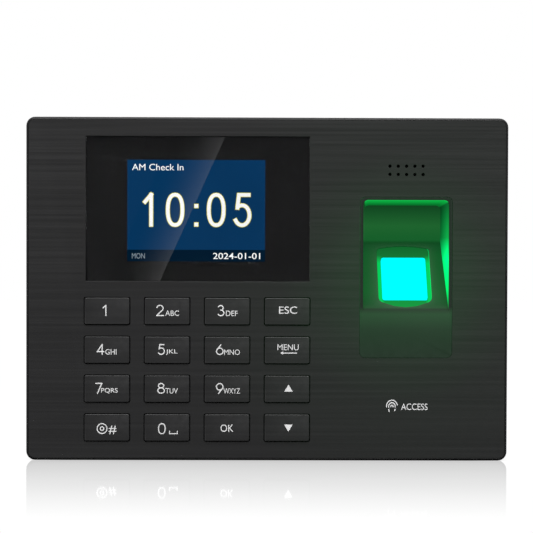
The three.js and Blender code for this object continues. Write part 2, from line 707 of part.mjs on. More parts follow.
function batteryHolder() {
  return cut(chamferedPlate(rectangle(0, 0, 24, 24, 5), 0, 4.6, 0.4),
    rod(0, 0, 10.3, 1, 4.6 + reach, 20),
    block(-4, 4, 1, 4.6 + reach, -13, -8));
}

// ---------------------------------------------------------------- wall plate and tamper switch
function wallPlate() {
  const outline = rectangle(0, (plateBottom + plateTop) / 2, plateWidth, plateTop - plateBottom, plateCorner);
  const slotX = plateWidth / 2 - plateSlotInset;
  const slotHigh = plateTop - plateSlotFromTop;
  const slotPlaces = [[-slotX, slotHigh], [slotX, slotHigh],
    [-slotX, plateSlotLow.left], [slotX, plateSlotLow.right]];
  const windowLow = bayBottom + plateWindowMargin;
  const plungerSlot = 2 * plungerRadius + 2;
  outline.holes = [
    rectangle(bayX, (windowLow + bayTop) / 2, bayWidth - 2 * plateWindowMargin, bayTop - windowLow, 3),
    rectangle(tamperX, tamperHeight + plateTravel / 2, plungerSlot, plungerSlot + plateTravel,
      plungerRadius),
    ...slotPlaces.map(([x, z]) => rectangle(x, z, plateSlotWidth, plateSlotHeight,
      plateSlotWidth / 2 - seat)),
  ];
  const sheet = plate(outline, plateFront, terminalDepth);
  const lipBack = pocketWallFront - 2 * fit;
  const hooks = hookPlaces.flatMap(({ x, z }) => {
    const from = x - hookWidth / 2;
    const to = x + hookWidth / 2;
    return [
      block(from, to, lipBack - seat, plateFront + seat, z, z + plateThickness),
      block(from, to, lipBack - plateThickness + 2 * fit, lipBack, z, z + plateTravel + reach)];
  });
  const tabSpan = [tabX - tabWidth / 2, tabX + tabWidth / 2];
  const tab = block(...tabSpan, tabFront, terminalDepth, tabLift, tabLift + plateThickness);
  const neck = block(...tabSpan, plateFront, terminalDepth, tabLift, plateBottom + reach);
  const sink = lockScrewSolid(seat, reach).translate(tabX, tabScrewDepth, tabLift);
  return cut(join(sheet, ...hooks, tab, neck), sink);
}

/** A countersunk screw pointing up from z = 0, grown for the hole that it sits in. */
function lockScrewSolid(grow = 0, below = 0) {
  const head = 2 * screwCoreRadius + grow;
  const core = screwCoreRadius + grow;
  const end = lockScrewLength + grow;
  return turned([[0, -below], [head, -below], [head, 0.1], [core, head - core], [core, end], [0, end]], 14)
    .rotateX(Math.PI / 2).rotateZ(Math.PI);
}

function lockScrew() {
  return cut(lockScrewSolid(), new THREE.BoxGeometry(3 * screwCoreRadius, 0.8, 1.2));
}

const plungerFront = componentFront + tamperBodyDepth / 2 + reach;

function tamperSwitch() {
  const half = tamperSize / 2;
  return cut(block(-half, half, componentFront, componentFront + tamperBodyDepth, -half, half),
    rod(0, 0, plungerRadius + 2 * fit, componentFront + tamperBodyDepth / 2,
      componentFront + tamperBodyDepth + reach));
}

// ---------------------------------------------------------------- assembly
const terminal = new THREE.Group();

function add(name, geometry, material, x = 0, y = 0, z = 0, parent = terminal) {
  const mesh = new THREE.Mesh(geometry, material);
  mesh.name = name;
  mesh.position.set(x, y, z);
  parent.add(mesh);
  return mesh;
}

add('front_shell', frontShell(), shellPlastic);
add('faceplate', facePlate(), brushedBlack);
add('rear_shell', rearShell(), shellPlastic);
add('wall_plate', wallPlate(), zincPlate);
add('lock_screw', lockScrew(), steel, tabX, tabScrewDepth, tabLift);
caseScrewPlaces.forEach((p, i) =>
  add(`case_screw_${i + 1}`, panScrew(caseScrewLength), steel, p.x, caseScrewSeat + seat, p.y));

add('display_window', plate(windowOutline(-fit), windowSink, windowBack), windowGlass);
add('display_gasket', displayGasket(), darkFoam);
add('lcd_panel', plate(rectangle(viewX, viewZ, lcdWidth, lcdHeight), lcdFront,
  lcdFront + lcdPanelThickness), lcdBlue);
add('lcd_tray', lcdTray(), steel);
add('lcd_cable', foldedCable(lcdCableEnd, lcdCableEnd + 7, lcdFront + reach, mainBoardDepth - seat,
  viewZ, 14), copperFlex);

const keyNames = ['1', '2', '3', 'esc', '4', '5', '6', 'menu', '7', '8', '9', 'up', 'hash', '0', 'ok', 'down'];
const capShape = keyCap();
keyNames.forEach((name, i) => add(`key_${name}`, capShape.clone(), keyPlastic,
  keyX(i % keyColumns), 0, keyZ(Math.floor(i / keyColumns))));
add('keypad_mat', keypadMat(), silicone);
add('keypad_board', keypadBoard(), boardGreen);
add('keypad_cable', foldedCable(keyFieldX + keyFieldWidth / 2 - 6, keyFieldX + keyFieldWidth / 2 + 3,
  keyBoardBack + seat, mainBoardDepth - seat, mainBoardBottom + 16, 12), copperFlex);

add('sensor_insert', sensorInsert(), scoopPlastic);
const sensor = new THREE.Group();
sensor.position.set(sensorX, platenDepth, platenZ);
sensor.rotation.x = sensorTilt;
terminal.add(sensor);
const inSensor = (name, geometry, material, x = 0, y = 0, z = 0) =>
  add(name, geometry, material, x, y, z, sensor);
inSensor('light_ring', lightRing(), guideGreen);
inSensor('platen_prism', platenPrism(), platenCyan);
inSensor('optics_housing', opticsHousing(), mouldedGrey);
inSensor('sensor_lens', cameraLens(), lensGlass, 0, opticsMiddle, sensorBoardFront + seat);
[-1, 1].forEach((side, i) => inSensor(`sensor_led_${i + 1}`, new THREE.BoxGeometry(3.2, 2.8, 1.4),
  guideGreen, side * (opticsWidth / 2 - opticsWall - 2.2), 0, sensorBoardFront + seat + 0.7));
inSensor('sensor_board', slopePlate(rectangle(0, opticsMiddle, opticsWidth, opticsLength, 1),
  sensorBoardFront - sensorBoardThickness, sensorBoardFront), boardGreen);
add('sensor_cable', sensorCable(), copperFlex);

add('speaker_cloth', rod(sensorX, speakerZ, speakerRadius - 0.5, frontWallBack + seat,
  frontWallBack + seat + speakerClothThickness, 20), darkFoam);
add('speaker', speaker(), chipBlack, sensorX, speakerFront, speakerZ);

add('main_board', mainBoard(), boardGreen);
boardPostX.flatMap((x) => boardPostZ.map((z) => [x, z])).forEach(([x, z], i) =>
  add(`board_screw_${i + 1}`, panScrew(screwGrip), steel, x, mainBoardBack + seat, z));
add('processor', chamferedPlate(rectangle(0, 0, 20, 20), 0, 1.6, 0.2), chipBlack,
  mainBoardX - 14, componentFront, middle + 34);
add('door_relay', chamferedPlate(rectangle(0, 0, 19, 15.5, 1), 0, 11, 0.3), blockGreen,
  mainBoardX - 42, componentFront, middle + 2);
add('battery_holder', batteryHolder(), whiteNylon, mainBoardX + 8, componentFront, middle + 6);
add('clock_battery', chamferedPlate(circle(0, 0, 10, 20), 0, 3.2, 0.3), steel,
  mainBoardX + 8, componentFront + 1 + seat, middle + 6);
add('terminal_block', terminalBlock(), blockGreen);
add('power_jack', powerJack(), chipBlack);
add('network_jack', networkJack(), whiteNylon);
add('usb_socket', usbSocket(), steel);
add('tamper_switch', tamperSwitch(), chipBlack, tamperX, 0, tamperHeight);
add('tamper_plunger', rod(0, 0, plungerRadius, plungerFront, terminalDepth, 16), whiteNylon,
  tamperX, 0, tamperHeight);

// The keys stand proud of the face, so the middle of the depth lies a little in front.
terminal.position.y = -(terminalDepth - keyProud) / 2;

export default terminal;
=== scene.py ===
# %% [markdown]
# # A wall-mounted fingerprint terminal
# The engineering model already says where every piece is and how the keys move. This lesson
# gives each piece the surface, the edges and the light that the real terminal has. Everything is
# in metres, with the face looking along -Y and the terminal standing on z = 0.

# %% Load the frame
import math

import bpy
from mathutils import Matrix, Vector


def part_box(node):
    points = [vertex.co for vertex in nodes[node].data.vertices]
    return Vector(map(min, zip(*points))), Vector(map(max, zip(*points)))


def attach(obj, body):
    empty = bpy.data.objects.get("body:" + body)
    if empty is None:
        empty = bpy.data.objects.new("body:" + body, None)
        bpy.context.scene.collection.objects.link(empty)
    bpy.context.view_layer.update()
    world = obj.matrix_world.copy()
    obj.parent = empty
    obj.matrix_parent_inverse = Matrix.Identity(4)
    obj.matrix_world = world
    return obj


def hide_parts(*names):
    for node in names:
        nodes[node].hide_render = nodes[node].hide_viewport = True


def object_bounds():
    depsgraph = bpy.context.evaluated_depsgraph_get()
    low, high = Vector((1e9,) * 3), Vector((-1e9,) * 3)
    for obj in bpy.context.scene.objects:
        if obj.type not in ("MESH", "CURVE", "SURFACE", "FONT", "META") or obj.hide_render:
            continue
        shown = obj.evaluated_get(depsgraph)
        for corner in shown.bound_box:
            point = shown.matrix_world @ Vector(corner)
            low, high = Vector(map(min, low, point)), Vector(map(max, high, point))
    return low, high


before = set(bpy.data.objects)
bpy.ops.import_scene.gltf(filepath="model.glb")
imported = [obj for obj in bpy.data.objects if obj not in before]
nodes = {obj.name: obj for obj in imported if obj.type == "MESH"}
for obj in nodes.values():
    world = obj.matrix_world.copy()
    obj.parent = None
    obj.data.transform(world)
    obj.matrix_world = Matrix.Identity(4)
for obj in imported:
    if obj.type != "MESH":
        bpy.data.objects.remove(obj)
cad_low, cad_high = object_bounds()
MM = 0.001
CASE = "terminal"
print("CAD nodes:", len(nodes), "size in mm:", [round(v / MM, 2) for v in cad_high - cad_low])

# %% [markdown]
# Blender's operators act on whatever is selected, and the frame arrives selected. So the first
# helpers clear the selection, pick one object, and switch to edit mode with only the faces or
# edges selected that a small test function says yes to.

# %% Selection helpers
def pick_none():
    bpy.ops.object.select_all(action="DESELECT")


def pick(obj):
    """Makes obj the only selected object, and the active one."""
    pick_none()
    obj.select_set(True)
    bpy.context.view_layer.objects.active = obj
    return obj


def edit(obj, mode, test):
    """Enters edit mode on obj with only the faces or edges selected for which test says yes."""
    pick(obj)
    bpy.ops.object.mode_set(mode="EDIT")
    bpy.ops.mesh.select_mode(type=mode)
    bpy.ops.mesh.select_all(action="DESELECT")
    bpy.ops.object.mode_set(mode="OBJECT")
    mesh = obj.data
    if mode == "FACE":
        for face in mesh.polygons:
            face.select = test(face)
    else:
        for edge in mesh.edges:
            a, b = (mesh.vertices[i].co for i in edge.vertices)
            edge.select = test(a, b)
    bpy.ops.object.mode_set(mode="EDIT")


def leave():
    bpy.ops.object.mode_set(mode="OBJECT")


def settle(obj):
    """Puts the object's place and size into its mesh, so that its own origin is the frame's."""
    pick(obj)
    bpy.ops.object.transform_apply(location=True, rotation=True, scale=True)
    return obj


def smooth(obj, degrees=32):
    pick(obj)
    bpy.ops.object.shade_smooth_by_angle(angle=math.radians(degrees))
    return obj


def modify(obj, kind, **values):
    """Adds a modifier, sets it and applies it."""
    pick(obj)
    modifier = obj.modifiers.new(kind.title(), kind)
    for name, value in values.items():
        setattr(modifier, name, value)
    bpy.ops.object.modifier_apply(modifier=modifier.name)
    return obj


def flat_faces(obj):
    """Lets the large faces set the shading, so that only the narrow edges look round."""
    return modify(obj, "WEIGHTED_NORMAL", mode="FACE_AREA", weight=100, keep_sharp=True)


def put_in_scene(name, data):
    obj = bpy.data.objects.new(name, data)
    bpy.context.scene.collection.objects.link(obj)
    return obj


def give(obj, material, body, slot, *replaced):
    """Dresses a finished piece, fixes it to its body and hides the CAD nodes it stands for."""
    obj.data.materials.clear()
    obj.data.materials.append(material)
    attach(obj, body)
    if replaced:
        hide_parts(*replaced)
    return obj


print("helpers ready")

# %% [markdown]
# ## Finishes
# A finish is rarely one flat colour. Brushed sheet has streaks, moulded plastic has a spark-eroded
# grain, and both are a little worn and dusty. These effects are shared by several materials, so
# each is a node group with named inputs, built once. A group only puts out numbers, colours and
# normals: the shader itself stays in each material. The helpers here place the few nodes that
# groups and materials both need. All of them read Object coordinates, which are the frame's own
# metres at rest, so a pattern keeps its real size and moves with its piece.

# %% Node helpers
def new_group(name, inputs, outputs):
    group = bpy.data.node_groups.new(name, "ShaderNodeTree")
    for label, value in inputs.items():
        socket = group.interface.new_socket(label, in_out="INPUT", socket_type="NodeSocketFloat")
        socket.default_value = value
    for label, kind in outputs.items():
        group.interface.new_socket(label, in_out="OUTPUT", socket_type=kind)
    start = group.nodes.new("NodeGroupInput")
    end = group.nodes.new("NodeGroupOutput")
    return group, start, end


def math_node(tree, operation, a, b):
    """A Math node whose two inputs are numbers or other nodes' outputs."""
    node = tree.nodes.new("ShaderNodeMath")
    node.operation = operation
    for socket, value in zip(node.inputs, (a, b)):
        if isinstance(value, (int, float)):
            socket.default_value = value
        else:
            tree.links.new(value, socket)
    return node.outputs[0]


def between(tree, value, low, high, first=0.0, last=1.0):
    """A value that runs from low to high, stretched to run from first to last."""
    span = tree.nodes.new("ShaderNodeMapRange")
    for label, number in (("From Min", low), ("From Max", high), ("To Min", first), ("To Max", last)):
        span.inputs[label].default_value = number
    tree.links.new(value, span.inputs["Value"])
    return span.outputs["Result"]


def texture(tree, kind, **values):
    """A texture on Object coordinates."""
    node = tree.nodes.new("ShaderNodeTex" + kind)
    for label, value in values.items():
        node.inputs[label.replace("_", " ")].default_value = value
    place = tree.nodes.new("ShaderNodeTexCoord")
    tree.links.new(place.outputs["Object"], node.inputs["Vector"])
    return node


def place_xyz(tree, kind="Object"):
    """The X, Y and Z of the shaded point."""
    place = tree.nodes.new("ShaderNodeTexCoord")
    split = tree.nodes.new("ShaderNodeSeparateXYZ")
    tree.links.new(place.outputs[kind], split.inputs["Vector"])
    return split.outputs


def distance_share(tree, centre, reach):
    """How far the shaded point is from a fixed one, as a share of reach."""
    place = tree.nodes.new("ShaderNodeTexCoord")
    away = tree.nodes.new("ShaderNodeVectorMath")
    away.operation = "DISTANCE"
    away.inputs[1].default_value = centre
    tree.links.new(place.outputs["Object"], away.inputs[0])
    return math_node(tree, "DIVIDE", away.outputs["Value"], reach)


def bumped(tree, strength, height, depth):
    """The normal of a surface whose height changes by up to depth."""
    bump = tree.nodes.new("ShaderNodeBump")
    bump.inputs["Distance"].default_value = depth
    tree.links.new(strength, bump.inputs["Strength"])
    tree.links.new(height, bump.inputs["Height"])
    return bump.outputs["Normal"]


def scaled(color, factor):
    return tuple(min(v * factor, 1.0) for v in color)


print("node helpers ready")

# %% [markdown]
# **Brushing.** The abrasive belt runs along X, so the streaks are long in X and thin in Z. A noise
# texture stretched by its mapping gives them: one noise for the fine lines, one for the faint wide
# bands that a real sheet shows from further away.

# %% Node group: brushed streaks
def make_streaks():
    group, start, end = new_group(
        "brushed_streaks", {"Lines per metre": 1100.0, "Length": 9.0, "Bump": 0.1},
        {"Streaks": "NodeSocketFloat", "Bands": "NodeSocketFloat", "Normal": "NodeSocketVector"})
    place = group.nodes.new("ShaderNodeTexCoord")
    found = {}
    for label, finer, shorter in (("Streaks", 1.0, 1.0), ("Bands", 0.16, 0.3)):
        scale = group.nodes.new("ShaderNodeCombineXYZ")
        length = math_node(group, "MULTIPLY", start.outputs["Length"], shorter)
        group.links.new(length, scale.inputs["X"])
        scale.inputs["Y"].default_value = 30.0
        lines = math_node(group, "MULTIPLY", start.outputs["Lines per metre"], finer)
        group.links.new(lines, scale.inputs["Z"])
        mapping = group.nodes.new("ShaderNodeMapping")
        group.links.new(place.outputs["Object"], mapping.inputs["Vector"])
        group.links.new(scale.outputs["Vector"], mapping.inputs["Scale"])
        noise = group.nodes.new("ShaderNodeTexNoise")
        noise.inputs["Scale"].default_value = 1.0
        noise.inputs["Detail"].default_value = 3.0
        group.links.new(mapping.outputs["Vector"], noise.inputs["Vector"])
        group.links.new(noise.outputs["Fac"], end.inputs[label])
        found[label] = noise.outputs["Fac"]
    normal = bumped(group, start.outputs["Bump"], found["Streaks"], 0.03 * MM)
    group.links.new(normal, end.inputs["Normal"])
    return group


STREAKS = make_streaks()
print("node group", STREAKS.name, "with", len(STREAKS.nodes), "nodes")

# %% [markdown]
# **Grain.** A mould's spark-eroded surface leaves a fine, even grain on the plastic. Cells of a
# third of a millimetre read as satin from arm's length and as texture up close. A slow second
# noise is the handling and dust that makes one area a little duller than the next.

# %% Node group: moulded grain
def make_grain():
    group, start, end = new_group(
        "moulded_grain", {"Cells per metre": 3000.0, "Bump": 0.2},
        {"Patches": "NodeSocketFloat", "Normal": "NodeSocketVector"})
    fine = texture(group, "Noise", Detail=2.0)
    group.links.new(start.outputs["Cells per metre"], fine.inputs["Scale"])
    slow = texture(group, "Noise", Scale=28.0, Detail=4.0)
    normal = bumped(group, start.outputs["Bump"], fine.outputs["Fac"], 0.04 * MM)
    group.links.new(slow.outputs["Fac"], end.inputs["Patches"])
    group.links.new(normal, end.inputs["Normal"])
    return group


GRAIN = make_grain()
print("node group", GRAIN.name, "with", len(GRAIN.nodes), "nodes")

# %% [markdown]
# **Edge wear.** Hands polish a black housing along its edges first. Pointiness is high on convex
# edges, and a noise breaks the line up so that it isn't an even outline.

# %% Node group: edge wear
def make_wear():
    group, start, end = new_group(
        "edge_wear", {"Start": 0.52, "End": 0.62, "Patchiness": 400.0}, {"Worn": "NodeSocketFloat"})
    shape = group.nodes.new("ShaderNodeNewGeometry")
    noise = texture(group, "Noise")
    group.links.new(start.outputs["Patchiness"], noise.inputs["Scale"])
    convex = group.nodes.new("ShaderNodeMapRange")
    group.links.new(shape.outputs["Pointiness"], convex.inputs["Value"])
    group.links.new(start.outputs["Start"], convex.inputs["From Min"])
    group.links.new(start.outputs["End"], convex.inputs["From Max"])
    worn = math_node(group, "MULTIPLY", convex.outputs["Result"], noise.outputs["Fac"])
    group.links.new(worn, end.inputs["Worn"])
    return group


WEAR = make_wear()
print("node group", WEAR.name, "with", len(WEAR.nodes), "nodes")

# %% [markdown]
# Each material starts from a Principled shader whose constant values are set on its own sockets.
# The helpers below place a group, mix two colours by a mask, and stretch a mask to a range of
# roughness, so that each finish after them is only a few lines.

# %% Material helpers
class Finish:
    """A material under construction."""

    def __init__(self, name, **constants):
        self.material = bpy.data.materials.new(name)
        self.material.use_nodes = True
        self.tree = self.material.node_tree
        self.shader = self.tree.nodes["Principled BSDF"]
        for label, value in constants.items():
            self.shader.inputs[label.replace("_", " ")].default_value = value

    def place(self, group, **values):
        node = self.tree.nodes.new("ShaderNodeGroup")
        node.node_tree = group
        for label, value in values.items():
            node.inputs[label.replace("_", " ")].default_value = value
        return node

    def spread(self, mask, low, high, socket):
        """Feeds a socket with a noise mask, most of which lies from 0.3 to 0.7, stretched."""
        self.link(between(self.tree, mask, 0.3, 0.7, low, high), socket)

    def ramp(self, mask, *stops):
        """A colour for each mask value: stops are (position, colour)."""
        node = self.tree.nodes.new("ShaderNodeValToRGB")
        points = node.color_ramp.elements
        while len(points) < len(stops):
            points.new(0.5)
        for point, (position, color) in zip(points, stops):
            point.position = position
            point.color = (*color, 1.0)
        self.tree.links.new(mask, node.inputs["Fac"])
        return node.outputs["Color"]

    def mix(self, mask, first, second):
        """The first colour where the mask is 0 and the second where it is 1."""
        node = self.tree.nodes.new("ShaderNodeMix")
        node.data_type = "RGBA"
        sockets = (node.inputs[0], node.inputs[6], node.inputs[7])
        for socket, value in zip(sockets, (mask, first, second)):
            if isinstance(value, (int, float)):
                socket.default_value = value
            elif isinstance(value, tuple):
                socket.default_value = (*value, 1.0)
            else:
                self.tree.links.new(value, socket)
        return node.outputs[2]

    def link(self, output, socket):
        self.tree.links.new(output, self.shader.inputs[socket])


def grey(value):
    """A neutral colour with a touch of blue, as black lacquer has."""
    return (value, value, value * 1.02)


def clouded(name, darker, lighter, smoothest, roughest, cells=3000.0, **constants):
    """A flat finish whose colour and gloss drift a little from place to place."""
    finish = Finish(name, **constants)
    grain = finish.place(GRAIN, Cells_per_metre=cells, Bump=0.0)
    finish.link(finish.ramp(grain.outputs["Patches"], (0.3, darker), (0.7, lighter)), "Base Color")
    finish.spread(grain.outputs["Patches"], smoothest, roughest, "Roughness")
    return finish.material


print("material helpers ready")

# %% [markdown]
# **Brushed black.** The face and the key caps are black lacquer over a brushed surface. The colour
# hardly changes, but the streaks move the gloss, which is what the eye reads as brushing.

# %% Finish: brushed black
# How far the painted green glow round the sensor reaches on the face and the keys.
SENSOR_GLOW_REACH = 95 * MM


def brushed_black(name, dark, light):
    finish = Finish(name, Specular_IOR_Level=0.34)
    streaks = finish.place(STREAKS, Bump=0.12)
    wear = finish.place(WEAR, Start=0.53, End=0.66)
    streak = finish.ramp(streaks.outputs["Streaks"], (0.32, grey(dark)), (0.68, grey(light)))
    middle = (dark + light) / 2
    band = finish.ramp(streaks.outputs["Bands"], (0.35, grey(dark)), (0.65, grey(light)))
    color = finish.mix(0.22, streak, band)
    color = finish.mix(wear.outputs["Worn"], color, grey(middle * 2.4))
    finish.link(color, "Base Color")
    finish.spread(streaks.outputs["Streaks"], 0.38, 0.52, "Roughness")
    finish.link(streaks.outputs["Normal"], "Normal")
    # Paints the green glow round the sensor onto this finish, as emission.
    paint_sensor_glow(finish)
    return finish.material


def paint_sensor_glow(finish):
    """A painted green glow on the lacquer round the sensor, given as emission in place of the guide's
    light.
    """
    low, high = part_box("light_ring")
    share = distance_share(finish.tree, (low + high) / 2, SENSOR_GLOW_REACH)
    painted_glow = finish.ramp(share, (0.26, (0.0006, 0.0195, 0.0030)), (0.40, (0.0004, 0.0098, 0.0014)),
                        (0.56, (0.0002, 0.0032, 0.0004)), (1.0, (0, 0, 0)))
    finish.link(painted_glow, "Emission Color")
    finish.shader.inputs["Emission Strength"].default_value = 1.0


FACE_BLACK = brushed_black("brushed_face", 0.0120, 0.0141)
KEY_BLACK = brushed_black("brushed_key", 0.0122, 0.0144)
print("brushed blacks made, with the sensor's light reaching", round(SENSOR_GLOW_REACH / MM), "mm")

# %% [markdown]
# **Moulded plastic.** Every plastic piece is the same recipe with another colour: grain in the
# bump, patches in the roughness, and lighter worn edges.

# %% Finish: moulded plastic
def moulded(name, color, roughness=0.5, cells=3000.0, bump=0.2, worn=2.0, gloss=0.4):
    finish = Finish(name, Specular_IOR_Level=gloss)
    grain = finish.place(GRAIN, Cells_per_metre=cells, Bump=bump)
    wear = finish.place(WEAR)
    base = finish.ramp(grain.outputs["Patches"], (0.3, scaled(color, 0.86)), (0.7, scaled(color, 1.12)))
    finish.link(finish.mix(wear.outputs["Worn"], base, scaled(color, worn)), "Base Color")
    finish.spread(grain.outputs["Patches"], roughness - 0.06, roughness + 0.08, "Roughness")
    finish.link(grain.outputs["Normal"], "Normal")
    return finish.material


SHELL_BLACK = moulded("shell_plastic", (0.0088, 0.0088, 0.0090), 0.46, worn=1.5, gloss=0.22)
BLACK_PLASTIC = moulded("black_plastic", (0.014, 0.014, 0.015), 0.45, cells=5000.0)
GREY_PLASTIC = moulded("grey_plastic", (0.11, 0.11, 0.12), 0.55)
WHITE_NYLON = moulded("white_nylon", (0.66, 0.66, 0.62), 0.5, worn=1.1)
GREEN_PLASTIC = moulded("green_plastic", (0.05, 0.28, 0.10), 0.5, worn=1.3)
SILICONE = moulded("silicone", (0.48, 0.49, 0.48), 0.72, worn=1.05)
FOAM = moulded("foam_black", (0.012, 0.012, 0.012), 0.95, cells=1800.0, bump=0.9, worn=1.2)
print("moulded finishes made")

# %% [markdown]
# ** Metals.** Zinc plate has large faint crystals under a dull passivated skin, which a Voronoi texture gives. Screws and stampings are brighter, with smaller crystals.

# %% Finish: metals
def metal(name, color, roughness, crystals):
    finish = Finish(name, Metallic=1.0)
    cells = texture(finish.tree, "Voronoi", Scale=crystals)
    grain = finish.place(GRAIN, Cells_per_metre=2200.0, Bump=0.12)
    tint = finish.ramp(cells.outputs["Color"], (0.2, scaled(color, 0.88)), (0.8, color))
    finish.link(finish.mix(grain.outputs["Patches"], tint, scaled(color, 0.8)), "Base Color")
    finish.spread(grain.outputs["Patches"], roughness - 0.08, roughness + 0.1, "Roughness")
    finish.link(grain.outputs["Normal"], "Normal")
    return finish.material


ZINC = metal("zinc_plate", (0.46, 0.47, 0.48), 0.42, 260.0)
SCREW_STEEL = metal("steel_screw", (0.44, 0.44, 0.45), 0.3, 900.0)
TRAY_STEEL = metal("tray_steel", (0.5, 0.5, 0.51), 0.32, 500.0)
print("metals made")

# %% [markdown]
# **Circuit boards.** Copper tracks lie just under the green solder mask, so they show as slightly
# lighter lines. A brick texture laid on the board's plane makes straight runs at right angles, and
# gold pads are the smallest cells of a Voronoi texture.

# %% Finish: circuit board and flat cable
def circuit_board():
    finish = Finish("circuit_board", Specular_IOR_Level=0.5, Coat_Weight=0.3, Coat_Roughness=0.15)
    tracks = texture(finish.tree, "Brick", Scale=160.0, Mortar_Size=0.03,
                     Color1=(0.012, 0.075, 0.028, 1), Color2=(0.016, 0.095, 0.036, 1),
                     Mortar=(0.035, 0.2, 0.08, 1))
    place = finish.tree.nodes.new("ShaderNodeTexCoord")
    turn = finish.tree.nodes.new("ShaderNodeMapping")
    turn.inputs["Rotation"].default_value = (math.pi / 2, 0, 0)
    finish.tree.links.new(place.outputs["Object"], turn.inputs["Vector"])
    finish.tree.links.new(turn.outputs["Vector"], tracks.inputs["Vector"])
    pads = texture(finish.tree, "Voronoi", Scale=420.0)
    on_pad = math_node(finish.tree, "LESS_THAN", pads.outputs["Distance"], 0.16)
    gold = (0.6, 0.42, 0.12)
    finish.link(finish.mix(on_pad, tracks.outputs["Color"], gold), "Base Color")
    grain = finish.place(GRAIN)
    finish.spread(grain.outputs["Patches"], 0.28, 0.42, "Roughness")
    return finish.material


def flat_cable():
    finish = Finish("copper_flex", Coat_Weight=0.4, Coat_Roughness=0.2)
    lines = texture(finish.tree, "Wave", Scale=260.0)
    lines.bands_direction = "Z"
    copper = finish.ramp(lines.outputs["Fac"], (0.35, (0.30, 0.11, 0.02)), (0.65, (0.52, 0.24, 0.07)))
    finish.link(copper, "Base Color")
    finish.spread(lines.outputs["Fac"], 0.3, 0.42, "Roughness")
    return finish.material


BOARD = circuit_board()
FLEX = flat_cable()
print("boards and cables made")

# %% [markdown]
# **Things that give light.** A backlit mark or a diode's dome is a plastic that lights itself, and
# it isn't perfectly even, so its colour drifts by a few hundredths. Screen colours are easiest to
# judge as the red, green and blue of a monitor, so a small function turns them into the linear
# values that Blender works in.

# %% Finish: emissive pieces
def glowing(name, color, strength):
    finish = Finish(name, Base_Color=(*scaled(color, 0.02), 1), Roughness=0.6,
                    Specular_IOR_Level=0.0, Emission_Strength=strength)
    grain = finish.place(GRAIN, Bump=0.0)
    glow = finish.ramp(grain.outputs["Patches"], (0.35, scaled(color, 0.93)), (0.65, color))
    finish.link(glow, "Emission Color")
    return finish.material


def srgb(red, green, blue):
    """The linear colour of an on-screen red, green and blue of 0 to 255."""
    def linear(v):
        v = v / 255
        return v / 12.92 if v <= 0.04045 else ((v + 0.055) / 1.055) ** 2.4
    return tuple(linear(v) for v in (red, green, blue))


SCREEN_WHITE = glowing("screen_white", (1.0, 1.0, 0.98), 1.12)
SCREEN_YELLOW = glowing("screen_yellow", srgb(226, 216, 90), 1.05)
SCREEN_DIM = glowing("screen_dim", srgb(150, 165, 175), 0.9)
LEGEND_INK = moulded("legend_ink", (0.52, 0.52, 0.52), 0.6, bump=0.0, worn=1.0)
print("screen colours and ink made")

# %% [markdown]
# ## Housing
# The engineering model's shapes are right, but its edges are knife-sharp and its curves are
# facets. A moulded edge has a radius of about a tenth of a millimetre, and that thin line is where
# a black housing catches the light. So each shell is copied, its facets are merged into clean
# faces, and a small bevel rounds what is still sharp.

# %% Finished copies of CAD shapes
def finished_copy(node, name, material, slot, edge, segments=2, body=CASE):
    """A CAD shape with its sharp edges rounded, standing for that CAD node."""
    piece = pick(put_in_scene(name, nodes[node].data.copy()))
    bpy.ops.mesh.customdata_custom_splitnormals_clear()
    bpy.ops.object.mode_set(mode="EDIT")
    bpy.ops.mesh.select_all(action="SELECT")
    bpy.ops.mesh.remove_doubles(threshold=0.002 * MM)
    bpy.ops.mesh.dissolve_limited(angle_limit=math.radians(0.6))
    leave()
    modify(piece, "BEVEL", width=edge, segments=segments, limit_method="ANGLE",
           angle_limit=math.radians(34), use_clamp_overlap=False)
    flat_faces(smooth(piece, 38))
    return give(piece, material, body, slot, node)


front_case = finished_copy("front_shell", "front_case", SHELL_BLACK, "shell_plastic", 0.1 * MM)
rear_case = finished_copy("rear_shell", "rear_case", SHELL_BLACK, "shell_plastic", 0.14 * MM)
face_sheet = finished_copy("faceplate", "face_sheet", FACE_BLACK, "brushed_face", 0.06 * MM)
back_plate = finished_copy("wall_plate", "back_plate", ZINC, "zinc_plate", 0.1 * MM,
                           body="wall_plate_body")
for piece in (front_case, rear_case, face_sheet, back_plate):
    print(piece.name, "has", len(piece.data.polygons), "faces")

# %% [markdown]
# ## Keys
# The sixteen caps are one moulding repeated: a brushed top, a rounded front edge, and behind the
# wall a flange that keeps the cap from falling out. One cap is shaped at the frame's origin, where
# every dimension is easy to read, and each key gets a copy of its mesh moved to its own place.

# %% One key cap
KEY_ROWS = [["1", "2", "3", "esc"], ["4", "5", "6", "menu"], ["7", "8", "9", "up"],
            ["hash", "0", "ok", "down"]]
KEY_WIDTH = 18.6 * MM
KEY_HEIGHT = 11 * MM
KEY_RADIUS = 0.7 * MM
KEY_FRONT_ROUND = 0.22 * MM
FLANGE_DEPTH = 0.75 * MM
STEM_LENGTH = 1 * MM
STEM_SHARE = (0.19, 1, 0.3)
key_low, key_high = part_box("key_1")
key_front = key_low.y
flange_width = key_high.x - key_low.x
flange_height = key_high.z - key_low.z


